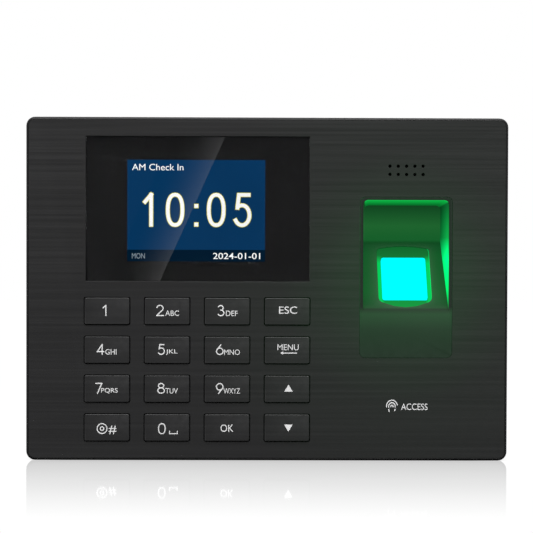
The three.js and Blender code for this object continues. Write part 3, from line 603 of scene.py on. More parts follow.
def model_key_cap():
    """A cap at the frame's origin, with its flange and the short stem that presses the mat."""
    cap_depth = key_high.y - key_front - FLANGE_DEPTH - STEM_LENGTH
    bpy.ops.mesh.primitive_cube_add(size=1, location=(0, key_front + cap_depth / 2, 0),
                                    scale=(KEY_WIDTH, cap_depth, KEY_HEIGHT))
    cap = settle(bpy.context.object)
    edit(cap, "EDGE", lambda a, b: abs(a.x - b.x) + abs(a.z - b.z) < 0.01 * MM)
    bpy.ops.mesh.bevel(offset=KEY_RADIUS, segments=5, affect="EDGES")
    leave()
    edit(cap, "FACE", lambda face: face.normal.y > 0.9)
    grow = (flange_width / KEY_WIDTH, 1, flange_height / KEY_HEIGHT)
    bpy.ops.mesh.extrude_region_move()
    bpy.ops.transform.resize(value=grow)
    bpy.ops.mesh.extrude_region_move(TRANSFORM_OT_translate={"value": (0, FLANGE_DEPTH, 0)})
    bpy.ops.mesh.extrude_region_move()
    bpy.ops.transform.resize(value=STEM_SHARE)
    bpy.ops.mesh.extrude_region_move(TRANSFORM_OT_translate={"value": (0, STEM_LENGTH, 0)})
    leave()
    front = key_front + 0.01 * MM
    edit(cap, "EDGE", lambda a, b: a.y < front and b.y < front)
    bpy.ops.mesh.bevel(offset=KEY_FRONT_ROUND, segments=3, affect="EDGES")
    leave()
    return flat_faces(smooth(cap, 35))


key_pattern = model_key_cap()
print("key cap:", len(key_pattern.data.polygons), "faces, front at y =", round(key_front / MM, 2), "mm")

# %% [markdown]
# Every key moves on its own, so each cap is a separate piece fixed to its own body. A copy that
# shared one mesh would also share its place, so each gets its own mesh, moved to its key.

# %% Sixteen caps, each on its own moving body
def key_centre(key):
    low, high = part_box("key_" + key)
    return (low.x + high.x) / 2, (low.z + high.z) / 2


for row in KEY_ROWS:
    for key in row:
        x, z = key_centre(key)
        cap = put_in_scene("cap_" + key, key_pattern.data.copy())
        cap.data.transform(Matrix.Translation((x, 0, z)))
        give(cap, KEY_BLACK, "key_" + key + "_body", "brushed_key", "key_" + key)
bpy.data.objects.remove(key_pattern)
print("made", sum(len(row) for row in KEY_ROWS), "caps")

# %% [markdown]
# ## Lettering
# The marks are pad-printed in light grey: a tall thin numeral and three or four small capitals
# beside it. Blender's built-in font is close for the capitals, and a text object becomes a mesh
# that can be fitted exactly to the height and width that the print has. The numerals and the signs
# that no font has are drawn as flat strokes instead.

# %% Text and strokes as thin printed meshes
INK = 0.03 * MM


def fitted(obj, left, bottom, width, height, y):
    """Fits a flat drawing to a box on a plane that faces -Y."""
    corners = [Vector(corner) for corner in obj.bound_box]
    low = Vector([min(c[i] for c in corners) for i in range(3)])
    high = Vector([max(c[i] for c in corners) for i in range(3)])
    across = width / (high.x - low.x)
    up = height / (high.y - low.y)
    deep = INK / (high.z - low.z)
    obj.rotation_euler = (math.pi / 2, 0, 0)
    obj.scale = (across, up, deep)
    obj.location = (left - low.x * across, y + low.z * deep, bottom - low.y * up)
    return settle(obj)


def lettering(text, left, bottom, width, height, y, heavier=0.0):
    """Text in the built-in font, fitted to a box. heavier thickens the strokes, in ems."""
    pick_none()
    bpy.ops.object.text_add()
    obj = bpy.context.object
    obj.data.body = text
    obj.data.extrude = 0.02
    obj.data.offset = heavier
    obj.data.resolution_u = 6
    pick(obj)
    bpy.ops.object.convert(target="MESH")
    return fitted(bpy.context.object, left, bottom, width, height, y)


def stroke(points, width, y, closed=False):
    """A flat printed line of one width through points (x, z)."""
    curve = bpy.data.curves.new("stroke", "CURVE")
    curve.dimensions = "3D"
    spline = curve.splines.new("POLY")
    spline.points.add(len(points) - 1)
    for point, (x, z) in zip(spline.points, points):
        point.co = (x, 0, z, 1)
    spline.use_cyclic_u = closed
    curve.bevel_depth = width / 2
    curve.bevel_resolution = 2
    curve.use_fill_caps = not closed
    pick(put_in_scene("stroke", curve))
    bpy.ops.object.convert(target="MESH")
    obj = bpy.context.object
    obj.scale.y = INK / width
    obj.location.y = y
    return settle(obj)


def oval(x, z, across, up, start=0, end=360, steps=28, fullness=1.0):
    """Points along part of an oval, between two angles in degrees.

    A fullness under 1 gives it squarer shoulders.
    """
    def full(v):
        return math.copysign(abs(v) ** fullness, v)
    angles = [math.radians(start + (end - start) * i / steps) for i in range(steps + 1)]
    return [(x + across * full(math.cos(a)), z + up * full(math.sin(a))) for a in angles]


def longer(points, more):
    """The same line with both ends drawn out, so that strokes which meet at a corner fill it."""
    def beyond(end, before):
        away = Vector(end) - Vector(before)
        return tuple(Vector(end) + away.normalized() * more)
    return [beyond(points[0], points[1])] + points[1:-1] + [beyond(points[-1], points[-2])]


def joined(parts, name):
    """Several meshes as one piece with one name."""
    pick(parts[0])
    for part in parts[1:]:
        part.select_set(True)
    bpy.ops.object.join()
    parts[0].name = name
    parts[0].data.name = name
    return parts[0]


print("lettering helpers ready; the ink is", round(INK / MM, 2), "mm thick")

# %% [markdown]
# The numerals are drawn as the middle lines of their strokes in a box one unit high and wide, the
# way a lettering stencil is laid out. The same ten outlines serve the keys and the clock.

# %% Numerals as strokes
NUMERALS = {
    "0": [oval(0.5, 0.5, 0.5, 0.5, fullness=0.86)],
    "1": [[(0.0, 0.76), (0.72, 1.0)], [(0.72, 1.0), (0.72, 0.0)]],
    "2": [oval(0.47, 0.71, 0.45, 0.29, 165, -32, 16) + [(0.0, 0.0)], [(0.0, 0.0), (1.0, 0.0)]],
    "3": [oval(0.43, 0.765, 0.4, 0.235, 150, -88, 14), oval(0.46, 0.275, 0.5, 0.275, 88, -150, 16)],
    "4": [[(0.74, 0.0), (0.74, 1.0)], [(0.74, 1.0), (0.0, 0.27)], [(0.0, 0.27), (1.0, 0.27)]],
    "5": [[(0.93, 1.0), (0.24, 1.0)], [(0.24, 1.0), (0.14, 0.57)],
          oval(0.46, 0.33, 0.52, 0.33, 124, -150, 18)],
    "6": [oval(0.5, 0.33, 0.5, 0.33), [(0.07, 0.48), (0.66, 1.0)]],
    "7": [[(0.0, 1.0), (1.0, 1.0)], [(1.0, 1.0), (0.3, 0.0)]],
    "8": [oval(0.5, 0.77, 0.4, 0.23), oval(0.5, 0.27, 0.5, 0.27)],
    "9": [oval(0.5, 0.67, 0.5, 0.33), [(0.93, 0.52), (0.34, 0.0)]],
}


def numeral(digit, left, bottom, width, height, line, y):
    """One numeral whose strokes stay inside a box."""
    parts = []
    for points in NUMERALS[digit]:
        placed = [(left + line / 2 + px * (width - line), bottom + line / 2 + pz * (height - line))
                  for px, pz in points]
        if math.dist(placed[0], placed[-1]) < line / 100:
            parts.append(stroke(placed[:-1], line, y, closed=True))
        else:
            parts.append(stroke(longer(placed, line * 0.45), line, y))
    return parts


print(len(NUMERALS), "numerals from", sum(len(lines) for lines in NUMERALS.values()), "strokes")

# %% [markdown]
# Each key's marks are given as boxes in millimetres from the middle of its cap: left, bottom,
# width, height. Numerals sit low on the left with their letters level beside them. The arrows, the
# line under MENU, the bracket beside the zero and the rings beside the hash are drawn.

# %% What is printed on each key
MARKS = {
    "1": [("1", -1.75, -2.05, 2.0, 4.6)],
    "2": [("2", -4.5, -2.05, 3.3, 4.7), ("ABC", -0.75, -1.9, 5.7, 2.2)],
    "3": [("3", -4.0, -2.05, 3.0, 4.7), ("DEF", -0.5, -1.9, 4.9, 2.2)],
    "4": [("4", -4.2, -2.05, 3.2, 4.5), ("GHI", -0.6, -1.9, 4.6, 2.2)],
    "5": [("5", -3.8, -2.05, 3.0, 4.5), ("JKL", -0.45, -1.9, 4.8, 2.2)],
    "6": [("6", -4.6, -2.05, 3.2, 4.5), ("MNO", -1.2, -1.9, 6.5, 2.2)],
    "7": [("7", -4.8, -2.05, 3.0, 4.5), ("PQRS", -2.3, -1.9, 6.8, 2.2)],
    "8": [("8", -4.0, -2.05, 3.2, 4.5), ("TUV", -0.6, -1.9, 5.1, 2.2)],
    "9": [("9", -4.6, -2.05, 3.2, 4.5), ("WXYZ", -1.4, -1.9, 6.8, 2.2)],
    "0": [("0", -3.65, -2.75, 3.2, 4.6)],
    "hash": [("#", 0.8, -2.7, 3.2, 3.5)],
    "esc": [("ESC", -3.4, -0.9, 7.5, 3.0)],
    "menu": [("MENU", -4.0, 0.05, 8.8, 2.45)],
    "ok": [("OK", -2.6, -1.65, 5.3, 3.0)],
}
SIGN_LINE = 0.4 * MM
NUMERAL_LINE = 0.46 * MM


def drawn_marks(key, x, z, y):
    """The marks that no font has."""
    def at(points):
        return [(x + px * MM, z + pz * MM) for px, pz in points]
    if key == "menu":
        return [stroke(at([(4.1, -1.15), (-2.2, -1.15)]), SIGN_LINE, y),
                stroke(at([(-1.6, -0.7), (-2.6, -1.15)]), SIGN_LINE, y),
                stroke(at([(-2.6, -1.15), (-1.6, -1.6)]), SIGN_LINE, y)]
    if key == "hash":
        rings = [oval(x - 1.95 * MM, z - 0.45 * MM, r * MM, r * MM)[:-1] for r in (2.05, 0.75)]
        return [stroke(ring, SIGN_LINE, y, closed=True) for ring in rings]
    if key == "0":
        corners = at([(1.15, -1.5), (1.15, -2.5), (4.35, -2.5), (4.35, -1.5)])
        sides = [longer(list(side), SIGN_LINE / 2) for side in zip(corners, corners[1:])]
        return [stroke(side, SIGN_LINE, y) for side in sides]
    if key in ("up", "down"):
        tip = 1.9 if key == "up" else -1.5
        base = -1.0 if key == "up" else 1.4
        return [arrow_head(at([(-1.1, base), (2.4, base), (0.65, tip)]), y)]
    return []


def arrow_head(points, y):
    """A filled triangle: a three-sided cylinder flattened to the thickness of the ink."""
    (left, base), (right, _), (_, tip) = points
    pick_none()
    bpy.ops.mesh.primitive_cylinder_add(vertices=3, radius=1, depth=1)
    head = bpy.context.object
    corners = [vertex.co for vertex in head.data.vertices]
    low = min(c.y for c in corners)
    tall = max(c.y for c in corners) - low
    wide = max(c.x for c in corners) - min(c.x for c in corners)
    turn = 1 if tip > base else -1
    head.rotation_euler = (turn * math.pi / 2, 0, 0)
    head.scale = ((right - left) / wide, abs(tip - base) / tall, INK)
    head.location = ((left + right) / 2, y, base - turn * low * head.scale.y)
    return settle(head)


def print_key(key):
    x, z = key_centre(key)
    y = key_front - INK / 2
    parts = drawn_marks(key, x, z, y)
    for text, left, bottom, width, height in MARKS.get(key, []):
        box = (x + left * MM, z + bottom * MM, width * MM, height * MM)
        if text in NUMERALS:
            parts += numeral(text, *box, NUMERAL_LINE, y)
        else:
            parts.append(lettering(text, *box, y))
    return give(joined(parts, "print_" + key), LEGEND_INK, "key_" + key + "_body", None)


prints = [print_key(key) for row in KEY_ROWS for key in row]
print("printed", len(prints), "keys;", sum(len(p.data.polygons) for p in prints), "faces in all")

# %% [markdown]
# ## Display
# From the front the display is four layers: a clear acrylic pane, a black mask printed on the back
# of it, the picture, and the panel behind that. Only the picture gives light. The pane is a real
# slab of clear plastic with its own refraction, so what lies behind it is seen as it would be.

# %% The pane
CLEAR_ACRYLIC = Finish("window_glass", Roughness=0.0, IOR=1.49, Transmission_Weight=1.0,
                       Base_Color=(0.93, 0.94, 0.95, 1)).material
finished_copy("display_window", "window_pane", CLEAR_ACRYLIC, "window_glass", 0.15 * MM, 3)
pane_low, pane_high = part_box("display_window")
VIEW_WIDTH = 57.3 * MM
VIEW_HEIGHT = 42.2 * MM
VIEW_OFFSET = 0.7 * MM
view_x = (pane_low.x + pane_high.x) / 2 - VIEW_OFFSET
view_z = (pane_low.z + pane_high.z) / 2 - VIEW_OFFSET
print("the pane is", round((pane_high.y - pane_low.y) / MM, 2), "mm thick")

# %% [markdown]
# The mask starts as one plane over the whole pane. Four bisects cut it along the sides of the
# picture, the middle face is deleted, and an extrusion gives the print its thickness.

# %% The black mask behind the pane
MASK_GAP = 0.02 * MM
MASK_INSET = 0.04 * MM
MASK_THICKNESS = 0.06 * MM


def edges_of_view():
    """The picture's opening: its low and high X, then its low and high Z."""
    return (view_x - VIEW_WIDTH / 2, view_x + VIEW_WIDTH / 2,
            view_z - VIEW_HEIGHT / 2, view_z + VIEW_HEIGHT / 2)


def model_mask():
    y = pane_high.y + MASK_GAP
    middle = (pane_low + pane_high) / 2
    pick_none()
    bpy.ops.mesh.primitive_plane_add(size=1, location=(middle.x, y, middle.z),
                                     rotation=(math.pi / 2, 0, 0))
    mask = bpy.context.object
    mask.scale = (pane_high.x - pane_low.x - MASK_INSET, pane_high.z - pane_low.z - MASK_INSET, 1)
    settle(mask)
    low_x, high_x, low_z, high_z = edges_of_view()
    for point, normal in (((low_x, y, 0), (1, 0, 0)), ((high_x, y, 0), (1, 0, 0)),
                          ((0, y, low_z), (0, 0, 1)), ((0, y, high_z), (0, 0, 1))):
        edit(mask, "FACE", lambda face: True)
        bpy.ops.mesh.bisect(plane_co=point, plane_no=normal)
        leave()
    edit(mask, "FACE", lambda face: abs(face.center.x - view_x) < 1 * MM
         and abs(face.center.z - view_z) < 1 * MM)
    bpy.ops.mesh.delete(type="FACE")
    bpy.ops.mesh.select_all(action="SELECT")
    bpy.ops.mesh.extrude_region_move(TRANSFORM_OT_translate={"value": (0, MASK_THICKNESS, 0)})
    bpy.ops.mesh.select_all(action="SELECT")
    bpy.ops.mesh.normals_make_consistent(inside=False)
    leave()
    mask.name = "window_mask"
    return mask


MASK_INK = clouded("mask_ink", grey(0.0112), grey(0.0128), 0.5, 0.6, cells=1500.0,
                   Specular_IOR_Level=0.2)
mask = give(model_mask(), MASK_INK, CASE, "window_glass")
print("mask:", len(mask.data.polygons), "faces")

# %% [markdown]
# The picture lies on the front of the panel. It is a blue field over a darker footer, both flat, so
# a hard step along Z is all that its colour needs.

# %% The picture
panel_low, panel_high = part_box("lcd_panel")
PICTURE_LAYER = 0.05 * MM
PICTURE_INSET = 1 * MM
BORDER_WIDTH = 1.2 * MM
BORDER_RISE = 0.01 * MM
FOOTER_HEIGHT = 4.85 * MM
BLUE = srgb(7, 56, 97)
FOOTER_BLUE = srgb(0, 26, 46)


def model_picture():
    """A thin sheet with a narrow raised border, a little larger than the opening that it shows in."""
    middle = (panel_low + panel_high) / 2
    pick_none()
    size = panel_high - panel_low
    bpy.ops.mesh.primitive_cube_add(
        size=1, location=(middle.x, panel_low.y - PICTURE_LAYER, middle.z),
        scale=(size.x - PICTURE_INSET, PICTURE_LAYER, size.z - PICTURE_INSET))
    picture = settle(bpy.context.object)
    edit(picture, "FACE", lambda face: face.normal.y < -0.9)
    bpy.ops.mesh.inset(thickness=BORDER_WIDTH, depth=0)
    bpy.ops.transform.translate(value=(0, BORDER_RISE, 0))
    leave()
    picture.name = "screen_picture"
    return picture


def picture_light():
    finish = Finish("screen_picture", Base_Color=(0.0005, 0.001, 0.002, 1), Roughness=0.5,
                    Specular_IOR_Level=0.0, Emission_Strength=1.0)
    footer_top = view_z - VIEW_HEIGHT / 2 + FOOTER_HEIGHT
    in_footer = math_node(finish.tree, "LESS_THAN", place_xyz(finish.tree)["Z"], footer_top)
    grain = finish.place(GRAIN, Bump=0.0)
    field = finish.ramp(grain.outputs["Patches"], (0.35, scaled(BLUE, 0.92)), (0.65, BLUE))
    finish.link(finish.mix(in_footer, field, FOOTER_BLUE), "Emission Color")
    return finish.material


picture = give(model_picture(), picture_light(), CASE, "lcd_glass")
print("picture:", len(picture.data.polygons), "faces")

# %% [markdown]
# The picture's marks are thin emissive pieces just in front of it. The clock is the keypad's
# numerals again, in white, with a slightly heavier yellow copy behind them. The heavier copy shows
# as a fine yellow outline. Each line of text is a name, the words, the left and bottom of its box,
# its width and height in millimetres, how much heavier its strokes are, and its light.

# %% The marks on the picture
low_x, high_x, low_z, high_z = edges_of_view()
marks_y = panel_low.y - 2 * PICTURE_LAYER
OUTLINE = 0.22 * MM
CLOCK_HEIGHT = 14.05 * MM
CLOCK_LINE = 1.4 * MM
CLOCK_DOT = 1.5 * MM
CLOCK_BOXES = [("1", 6.5, 5.0), ("0", 16.0, 7.5), ("0", 33.1, 7.6), ("5", 44.2, 7.4)]
clock_bottom = high_z - 27.75 * MM


def clock_digits(grow, y):
    """The time, each numeral in its own box, all strokes heavier by grow on each side."""
    parts = []
    for digit, start, width in CLOCK_BOXES:
        parts += numeral(digit, low_x + start * MM - grow, clock_bottom - grow, width * MM + 2 * grow,
                         CLOCK_HEIGHT + 2 * grow, CLOCK_LINE + 2 * grow, y)
    dot = low_x + 28.6 * MM
    for height in (0.2, 7.9):
        bottom = clock_bottom + height * MM
        parts.append(stroke([(dot, bottom - grow), (dot, bottom + CLOCK_DOT + grow)],
                            CLOCK_DOT + 2 * grow, y))
    return parts


backing = joined(clock_digits(OUTLINE, marks_y), "clock_outline")
give(backing, SCREEN_YELLOW, CASE, None)
clock = joined(clock_digits(0, marks_y - 2 * INK), "clock_digits")
give(clock, SCREEN_WHITE, CASE, None)
SCREEN_TEXT = [
    ("screen_header", "AM Check In", low_x + 1.8 * MM, high_z - 4.3 * MM, 21.4, 2.7, 0.0, SCREEN_WHITE),
    ("screen_date", "2024-01-01", high_x - 21.7 * MM, low_z + 1.0 * MM, 19.7, 2.6, 0.006, SCREEN_WHITE),
    ("screen_day", "MON", low_x + 1.8 * MM, low_z + 1.1 * MM, 5.4, 2.3, 0.0, SCREEN_DIM),
]
for name, text, left, bottom, width, height, heavier, light in SCREEN_TEXT:
    words = lettering(text, left, bottom, width * MM, height * MM, marks_y, heavier)
    words.name = name
    give(words, light, CASE, None)
print("picture opening in mm:", [round(v / MM, 2) for v in edges_of_view()])

# %% [markdown]
# ## Finger sensor
# The scoop guides a fingertip onto a tilted platen. It is dark but translucent, so light from the guide
# frame round the platen travels inside its walls: its back and its ceiling glow dimly, and its right
# wall glows strongly. Light inside a plastic is slow and noisy to render, so this glow is painted light
# instead, given by place as emission. Lists of heights in millimetres say how bright the back and the
# side wall are, and masks made from the surface's place and direction choose between them. The back's
# list dips at about 90 mm, which is painted shade along the crease in the back wall.

# %% Scoop
scoop_low, scoop_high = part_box("sensor_insert")
ring_low, ring_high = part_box("light_ring")
ring_middle = (ring_low + ring_high) / 2
# Painted glow by height; the darker stops from 89.6 to 90.8 mm in BACK_GLOW are painted shade at the
# crease.
BACK_GLOW = [(42, (10, 30, 14)), (55, (18, 50, 26)), (62, (26, 70, 36)), (70, (16, 88, 36)),
             (86, (12, 84, 34)), (89.6, (12, 74, 32)), (90.8, (10, 70, 28)), (92, (20, 92, 40)),
             (98, (30, 98, 45)), (106.5, (16, 68, 32))]
SIDE_GLOW = [(62, (10, 112, 52)), (71, (0, 258, 116)), (84, (0, 308, 156)), (93, (10, 172, 74)),
             (106, (10, 104, 46))]


def glow_by_height(finish, height, glow):
    share = between(finish.tree, height, scoop_low.z, scoop_high.z)
    tall = scoop_high.z - scoop_low.z
    return finish.ramp(share, *[((z * MM - scoop_low.z) / tall, srgb(*color)) for z, color in glow])


def scoop_glow(finish, place, inside):
    """The painted glow of the guide's light in the plastic. inside is 0 on the flange at the face and 1
    in the hollow.
    """
    tree = finish.tree
    shape = tree.nodes.new("ShaderNodeNewGeometry")
    facing = tree.nodes.new("ShaderNodeSeparateXYZ")
    tree.links.new(shape.outputs["Normal"], facing.inputs["Vector"])
    on_upper_flange = math_node(tree, "MULTIPLY", between(tree, place["Z"], 61 * MM, 64 * MM),
                                between(tree, inside, 0.5, 0.2))
    back = finish.mix(on_upper_flange, glow_by_height(finish, place["Z"], BACK_GLOW), srgb(9, 24, 12))
    depth = between(tree, place["Y"], scoop_low.y + 13 * MM, scoop_low.y + 3 * MM)
    strength = finish.ramp(depth, (0.0, (0.35, 0.35, 0.35)), (1.0, (1, 1, 1)))
    side = finish.mix(strength, (0, 0, 0), glow_by_height(finish, place["Z"], SIDE_GLOW))
    right_half = between(tree, place["X"], ring_middle.x, ring_middle.x + 5 * MM)
    to_the_left = between(tree, facing.outputs["X"], -0.5, -0.8)
    on_side = math_node(tree, "MULTIPLY", math_node(tree, "MULTIPLY", right_half, to_the_left), inside)
    along = between(tree, place["Y"], scoop_low.y, scoop_low.y + 12 * MM)
    ceiling = finish.ramp(along, (0.0, srgb(20, 200, 86)), (0.16, srgb(10, 172, 64)),
                          (1.0, srgb(6, 112, 42)))
    on_ceiling = math_node(tree, "MULTIPLY", between(tree, facing.outputs["Z"], -0.5, -0.8),
                           between(tree, place["Z"], 100 * MM, 102 * MM))
    return finish.mix(on_ceiling, finish.mix(on_side, back, side), ceiling)


def scoop_plastic():
    finish = Finish("scoop_plastic", Specular_IOR_Level=0.06, Emission_Strength=1.0)
    grain = finish.place(GRAIN, Bump=0.08)
    wear = finish.place(WEAR)
    place = place_xyz(finish.tree)
    inside = between(finish.tree, place["Y"], scoop_low.y + 0.1 * MM, scoop_low.y + 1.4 * MM)
    outer = finish.ramp(grain.outputs["Patches"], (0.3, (0.0088, 0.0110, 0.0094)),
                        (0.7, (0.0110, 0.0136, 0.0116)))
    # The hollow's base is darker and greener than the flange's: painted shade, so that the studio light
    # barely shows inside it.
    color = finish.mix(inside, outer, (0.0015, 0.006, 0.003))
    finish.link(finish.mix(wear.outputs["Worn"], color, (0.03, 0.045, 0.035)), "Base Color")
    finish.spread(grain.outputs["Patches"], 0.4, 0.52, "Roughness")
    finish.link(grain.outputs["Normal"], "Normal")
    finish.link(scoop_glow(finish, place, inside), "Emission Color")
    return finish.material


scoop = finished_copy("sensor_insert", "scoop", scoop_plastic(), "scoop_plastic", 0.12 * MM)
print("scoop:", len(scoop.data.polygons), "faces")

# %% [markdown]
# Light under the platen shows as flat cyan, and the guide frame round it glows green, most of all
# beside its two diodes. Both get soft edges, because their thin bright outlines are what shows
# their thickness.

# %% Guide frame and platen
platen_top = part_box("platen_prism")[1].z
PLATEN_REACH = 13 * MM


def platen_light():
    """Cyan that dims a little towards the platen's edge."""
    cyan = srgb(0, 255, 255)
    finish = Finish("platen_glass", Base_Color=(*scaled(cyan, 0.02), 1), Roughness=0.6,
                    Specular_IOR_Level=0.0, Emission_Strength=1.08)
    share = distance_share(finish.tree, ring_middle, PLATEN_REACH)
    finish.link(finish.ramp(share, (0.0, cyan), (1.0, srgb(0, 250, 250))), "Emission Color")
    return finish.material


def guide_light():
    """Green that is strongest along the frame's sides, up to just above the platen."""
    finish = Finish("guide_green", Base_Color=(0.0005, 0.006, 0.002, 1), Roughness=0.5,
                    Specular_IOR_Level=0.0, Emission_Strength=1.0)
    tree = finish.tree
    place = place_xyz(tree)
    height = between(tree, place["Z"], ring_low.z, ring_high.z)
    middle = finish.ramp(height, (0.0, srgb(22, 152, 64)), (0.85, srgb(22, 112, 50)),
                         (1.0, srgb(18, 100, 42)))
    offset = math_node(tree, "SUBTRACT", place["X"], ring_middle.x)
    on_side = between(tree, math_node(tree, "ABSOLUTE", offset, 0.0), 8.6 * MM, 9.8 * MM)
    level = between(tree, place["Z"], platen_top + 0.9 * MM, platen_top - 2.4 * MM)
    by_diode = math_node(tree, "MULTIPLY", on_side, level)
    finish.link(finish.mix(by_diode, middle, srgb(4, 208, 92)), "Emission Color")
    finish.link(finish.place(GRAIN, Bump=0.1).outputs["Normal"], "Normal")
    return finish.material


finished_copy("light_ring", "guide_frame", guide_light(), "guide_green", 0.1 * MM)
finished_copy("platen_prism", "platen", platen_light(), "platen_glass", 0.1 * MM)
print("guide frame and platen made")

# %% [markdown]
# ## Mark on the face
# A small printed fingerprint says what the terminal is for. It is a set of concentric arches with
# the gaps that loops have, drawn as strokes of one width.

# %% Fingerprint mark
MARK_X = 52.0 * MM
MARK_Z = 22.6 * MM
MARK_LINE = 0.42 * MM
ARCH_NARROWNESS = 0.86
ARCHES = [(0.55, -30, 210), (1.6, -14, 196), (2.65, 12, 186)]


def fingerprint_mark():
    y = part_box("faceplate")[0].y - INK / 2
    parts = []
    for radius, start, end in ARCHES:
        arch = oval(MARK_X, MARK_Z, radius * MM * ARCH_NARROWNESS, radius * MM, start, end)
        parts.append(stroke(arch, MARK_LINE, y))
    for side, drop in ((-1, 2.2), (1, 1.9)):
        top = (MARK_X + side * 1.38 * MM, MARK_Z - 0.9 * MM)
        foot = (MARK_X + side * 1.1 * MM, MARK_Z - drop * MM)
        parts.append(stroke([top, foot], MARK_LINE, y))
    parts.append(lettering("ACCESS", MARK_X + 3.8 * MM, MARK_Z - 1.4 * MM, 11.0 * MM, 2.7 * MM, y))
    return joined(parts, "fingerprint_mark")


face_mark = give(fingerprint_mark(), LEGEND_INK, CASE, None)
print("mark on the face:", len(face_mark.data.polygons), "faces")

# %% [markdown]
# ## Pieces that keep their shape
# Everything else already has its real shape and only needs its real surface. A CAD node is given a
# finish through its material slots, and its mesh is left alone.

# %% Finishes for the remaining CAD nodes
LENS_GLASS = clouded("lens_glass", (0.01, 0.02, 0.05), (0.03, 0.02, 0.06), 0.05, 0.12,
                     Metallic=0.0, Transmission_Weight=0.0, Coat_Weight=1.0, Coat_Roughness=0.03)
PANEL_GLASS = clouded("lcd_glass", (0.01, 0.012, 0.014), (0.014, 0.016, 0.02), 0.1, 0.18,
                      Specular_IOR_Level=0.5)
LED_GREEN = glowing("led_green", srgb(40, 255, 110), 2.0)
NODE_FINISHES = [
    (SCREW_STEEL, ["lock_screw"] + [f"case_screw_{i}" for i in range(1, 5)]
     + [f"board_screw_{i}" for i in range(1, 5)]),
    (FOAM, ["display_gasket", "speaker_cloth"]),
    (PANEL_GLASS, ["lcd_panel"]),
    (TRAY_STEEL, ["lcd_tray", "usb_socket", "clock_battery"]),
    (FLEX, ["lcd_cable", "keypad_cable", "sensor_cable"]),
    (SILICONE, ["keypad_mat"]),
    (BOARD, ["keypad_board", "main_board", "sensor_board"]),
    (LED_GREEN, ["sensor_led_1", "sensor_led_2"]),
    (GREY_PLASTIC, ["optics_housing"]),
    (LENS_GLASS, ["sensor_lens"]),
    (BLACK_PLASTIC, ["speaker", "processor", "power_jack", "tamper_switch"]),
    (WHITE_NYLON, ["battery_holder", "network_jack", "tamper_plunger"]),
    (GREEN_PLASTIC, ["door_relay", "terminal_block"]),
]
for material, names in NODE_FINISHES:
    for name in names:
        nodes[name].data.materials.clear()
        nodes[name].data.materials.append(material)
print("finished", sum(len(names) for _, names in NODE_FINISHES), "CAD nodes")

# %% [markdown]
# ## Studio
# The floor is a pale glossy sheet. It mirrors the terminal's foot, and the mirror image fades
# towards the front. Its own light makes up for what the mirror takes away, so that it stays as
# white as the background, and a soft shade under the housing sets it down. Rays that don't come
# from the camera find it dark, so it throws almost no light up at the housing.

# %% Floor
FLOOR_SIZE = 3.0
FLOOR_WHITE = 1.01
SKY_BEHIND = 0.4
FADE_LENGTH = 105 * MM
CONTACT_DISTANCE = 70 * MM
CONTACT_SHADE = 0.6


def bare_material(name):
    """A material with no nodes yet, for what isn't a Principled surface."""
    material = bpy.data.materials.new(name)
    material.use_nodes = True
    material.node_tree.nodes.clear()
    return material, material.node_tree


def mirror_share(tree, place, sideways):
    """How much the floor mirrors: only in front of the terminal, less and less away from it."""
    near = between(tree, place["Y"], cad_low.y - FADE_LENGTH, cad_low.y)
    in_front = math_node(tree, "LESS_THAN", place["Y"], cad_low.y + 1 * MM)
    narrow = between(tree, sideways, cad_high.x + 30 * MM, cad_high.x + 5 * MM)
    return math_node(tree, "MULTIPLY", math_node(tree, "MULTIPLY", near, in_front), narrow)


def contact_shade(tree, sideways, share):
    """The soft shade under the terminal, where the mirror image doesn't already darken it."""
    contact = tree.nodes.new("ShaderNodeAmbientOcclusion")
    contact.inputs["Distance"].default_value = CONTACT_DISTANCE
    hidden = math_node(tree, "SUBTRACT", 1.0, contact.outputs["AO"])
    shade = math_node(tree, "MULTIPLY", hidden, math_node(tree, "SUBTRACT", CONTACT_SHADE, share))
    narrow = between(tree, sideways, cad_high.x + 2 * MM, cad_high.x - 15 * MM)
    return math_node(tree, "MAXIMUM", math_node(tree, "MULTIPLY", shade, narrow), 0.0)


def floor_finish():
    material, tree = bare_material("studio_floor")
    place = place_xyz(tree)
    sideways = math_node(tree, "ABSOLUTE", place["X"], 0.0)
    share = mirror_share(tree, place, sideways)
    mirror = tree.nodes.new("ShaderNodeBsdfGlossy")
    mirror.inputs["Roughness"].default_value = 0.06
    tree.links.new(share, mirror.inputs["Color"])
    mirrored_sky = math_node(tree, "MULTIPLY", share, SKY_BEHIND)
    lost = math_node(tree, "ADD", mirrored_sky, contact_shade(tree, sideways, share))
    light = tree.nodes.new("ShaderNodeEmission")
    tree.links.new(math_node(tree, "SUBTRACT", FLOOR_WHITE, lost), light.inputs["Strength"])
    both = tree.nodes.new("ShaderNodeAddShader")
    tree.links.new(mirror.outputs["BSDF"], both.inputs[0])
    tree.links.new(light.outputs["Emission"], both.inputs[1])
    dull = tree.nodes.new("ShaderNodeBsdfDiffuse")
    dull.inputs["Color"].default_value = (0.03, 0.03, 0.03, 1)
    path = tree.nodes.new("ShaderNodeLightPath")
    choose = tree.nodes.new("ShaderNodeMixShader")
    tree.links.new(path.outputs["Is Camera Ray"], choose.inputs[0])
    tree.links.new(dull.outputs["BSDF"], choose.inputs[1])
    tree.links.new(both.outputs["Shader"], choose.inputs[2])
    out = tree.nodes.new("ShaderNodeOutputMaterial")
    tree.links.new(choose.outputs["Shader"], out.inputs["Surface"])
    return material


pick_none()
bpy.ops.mesh.primitive_plane_add(size=FLOOR_SIZE, location=(0, 0, -0.05 * MM))
floor = settle(bpy.context.object)
floor.name = "studio_floor"
floor.data.materials.append(floor_finish())
print("floor made")

# %% [markdown]
# The world is white where the camera sees it. Every other ray finds it dim: darkest in front, so
# that the black face isn't washed out, and brighter behind, where it rims the housing's edges.

# %% World
SKY_IN_FRONT = 0.015


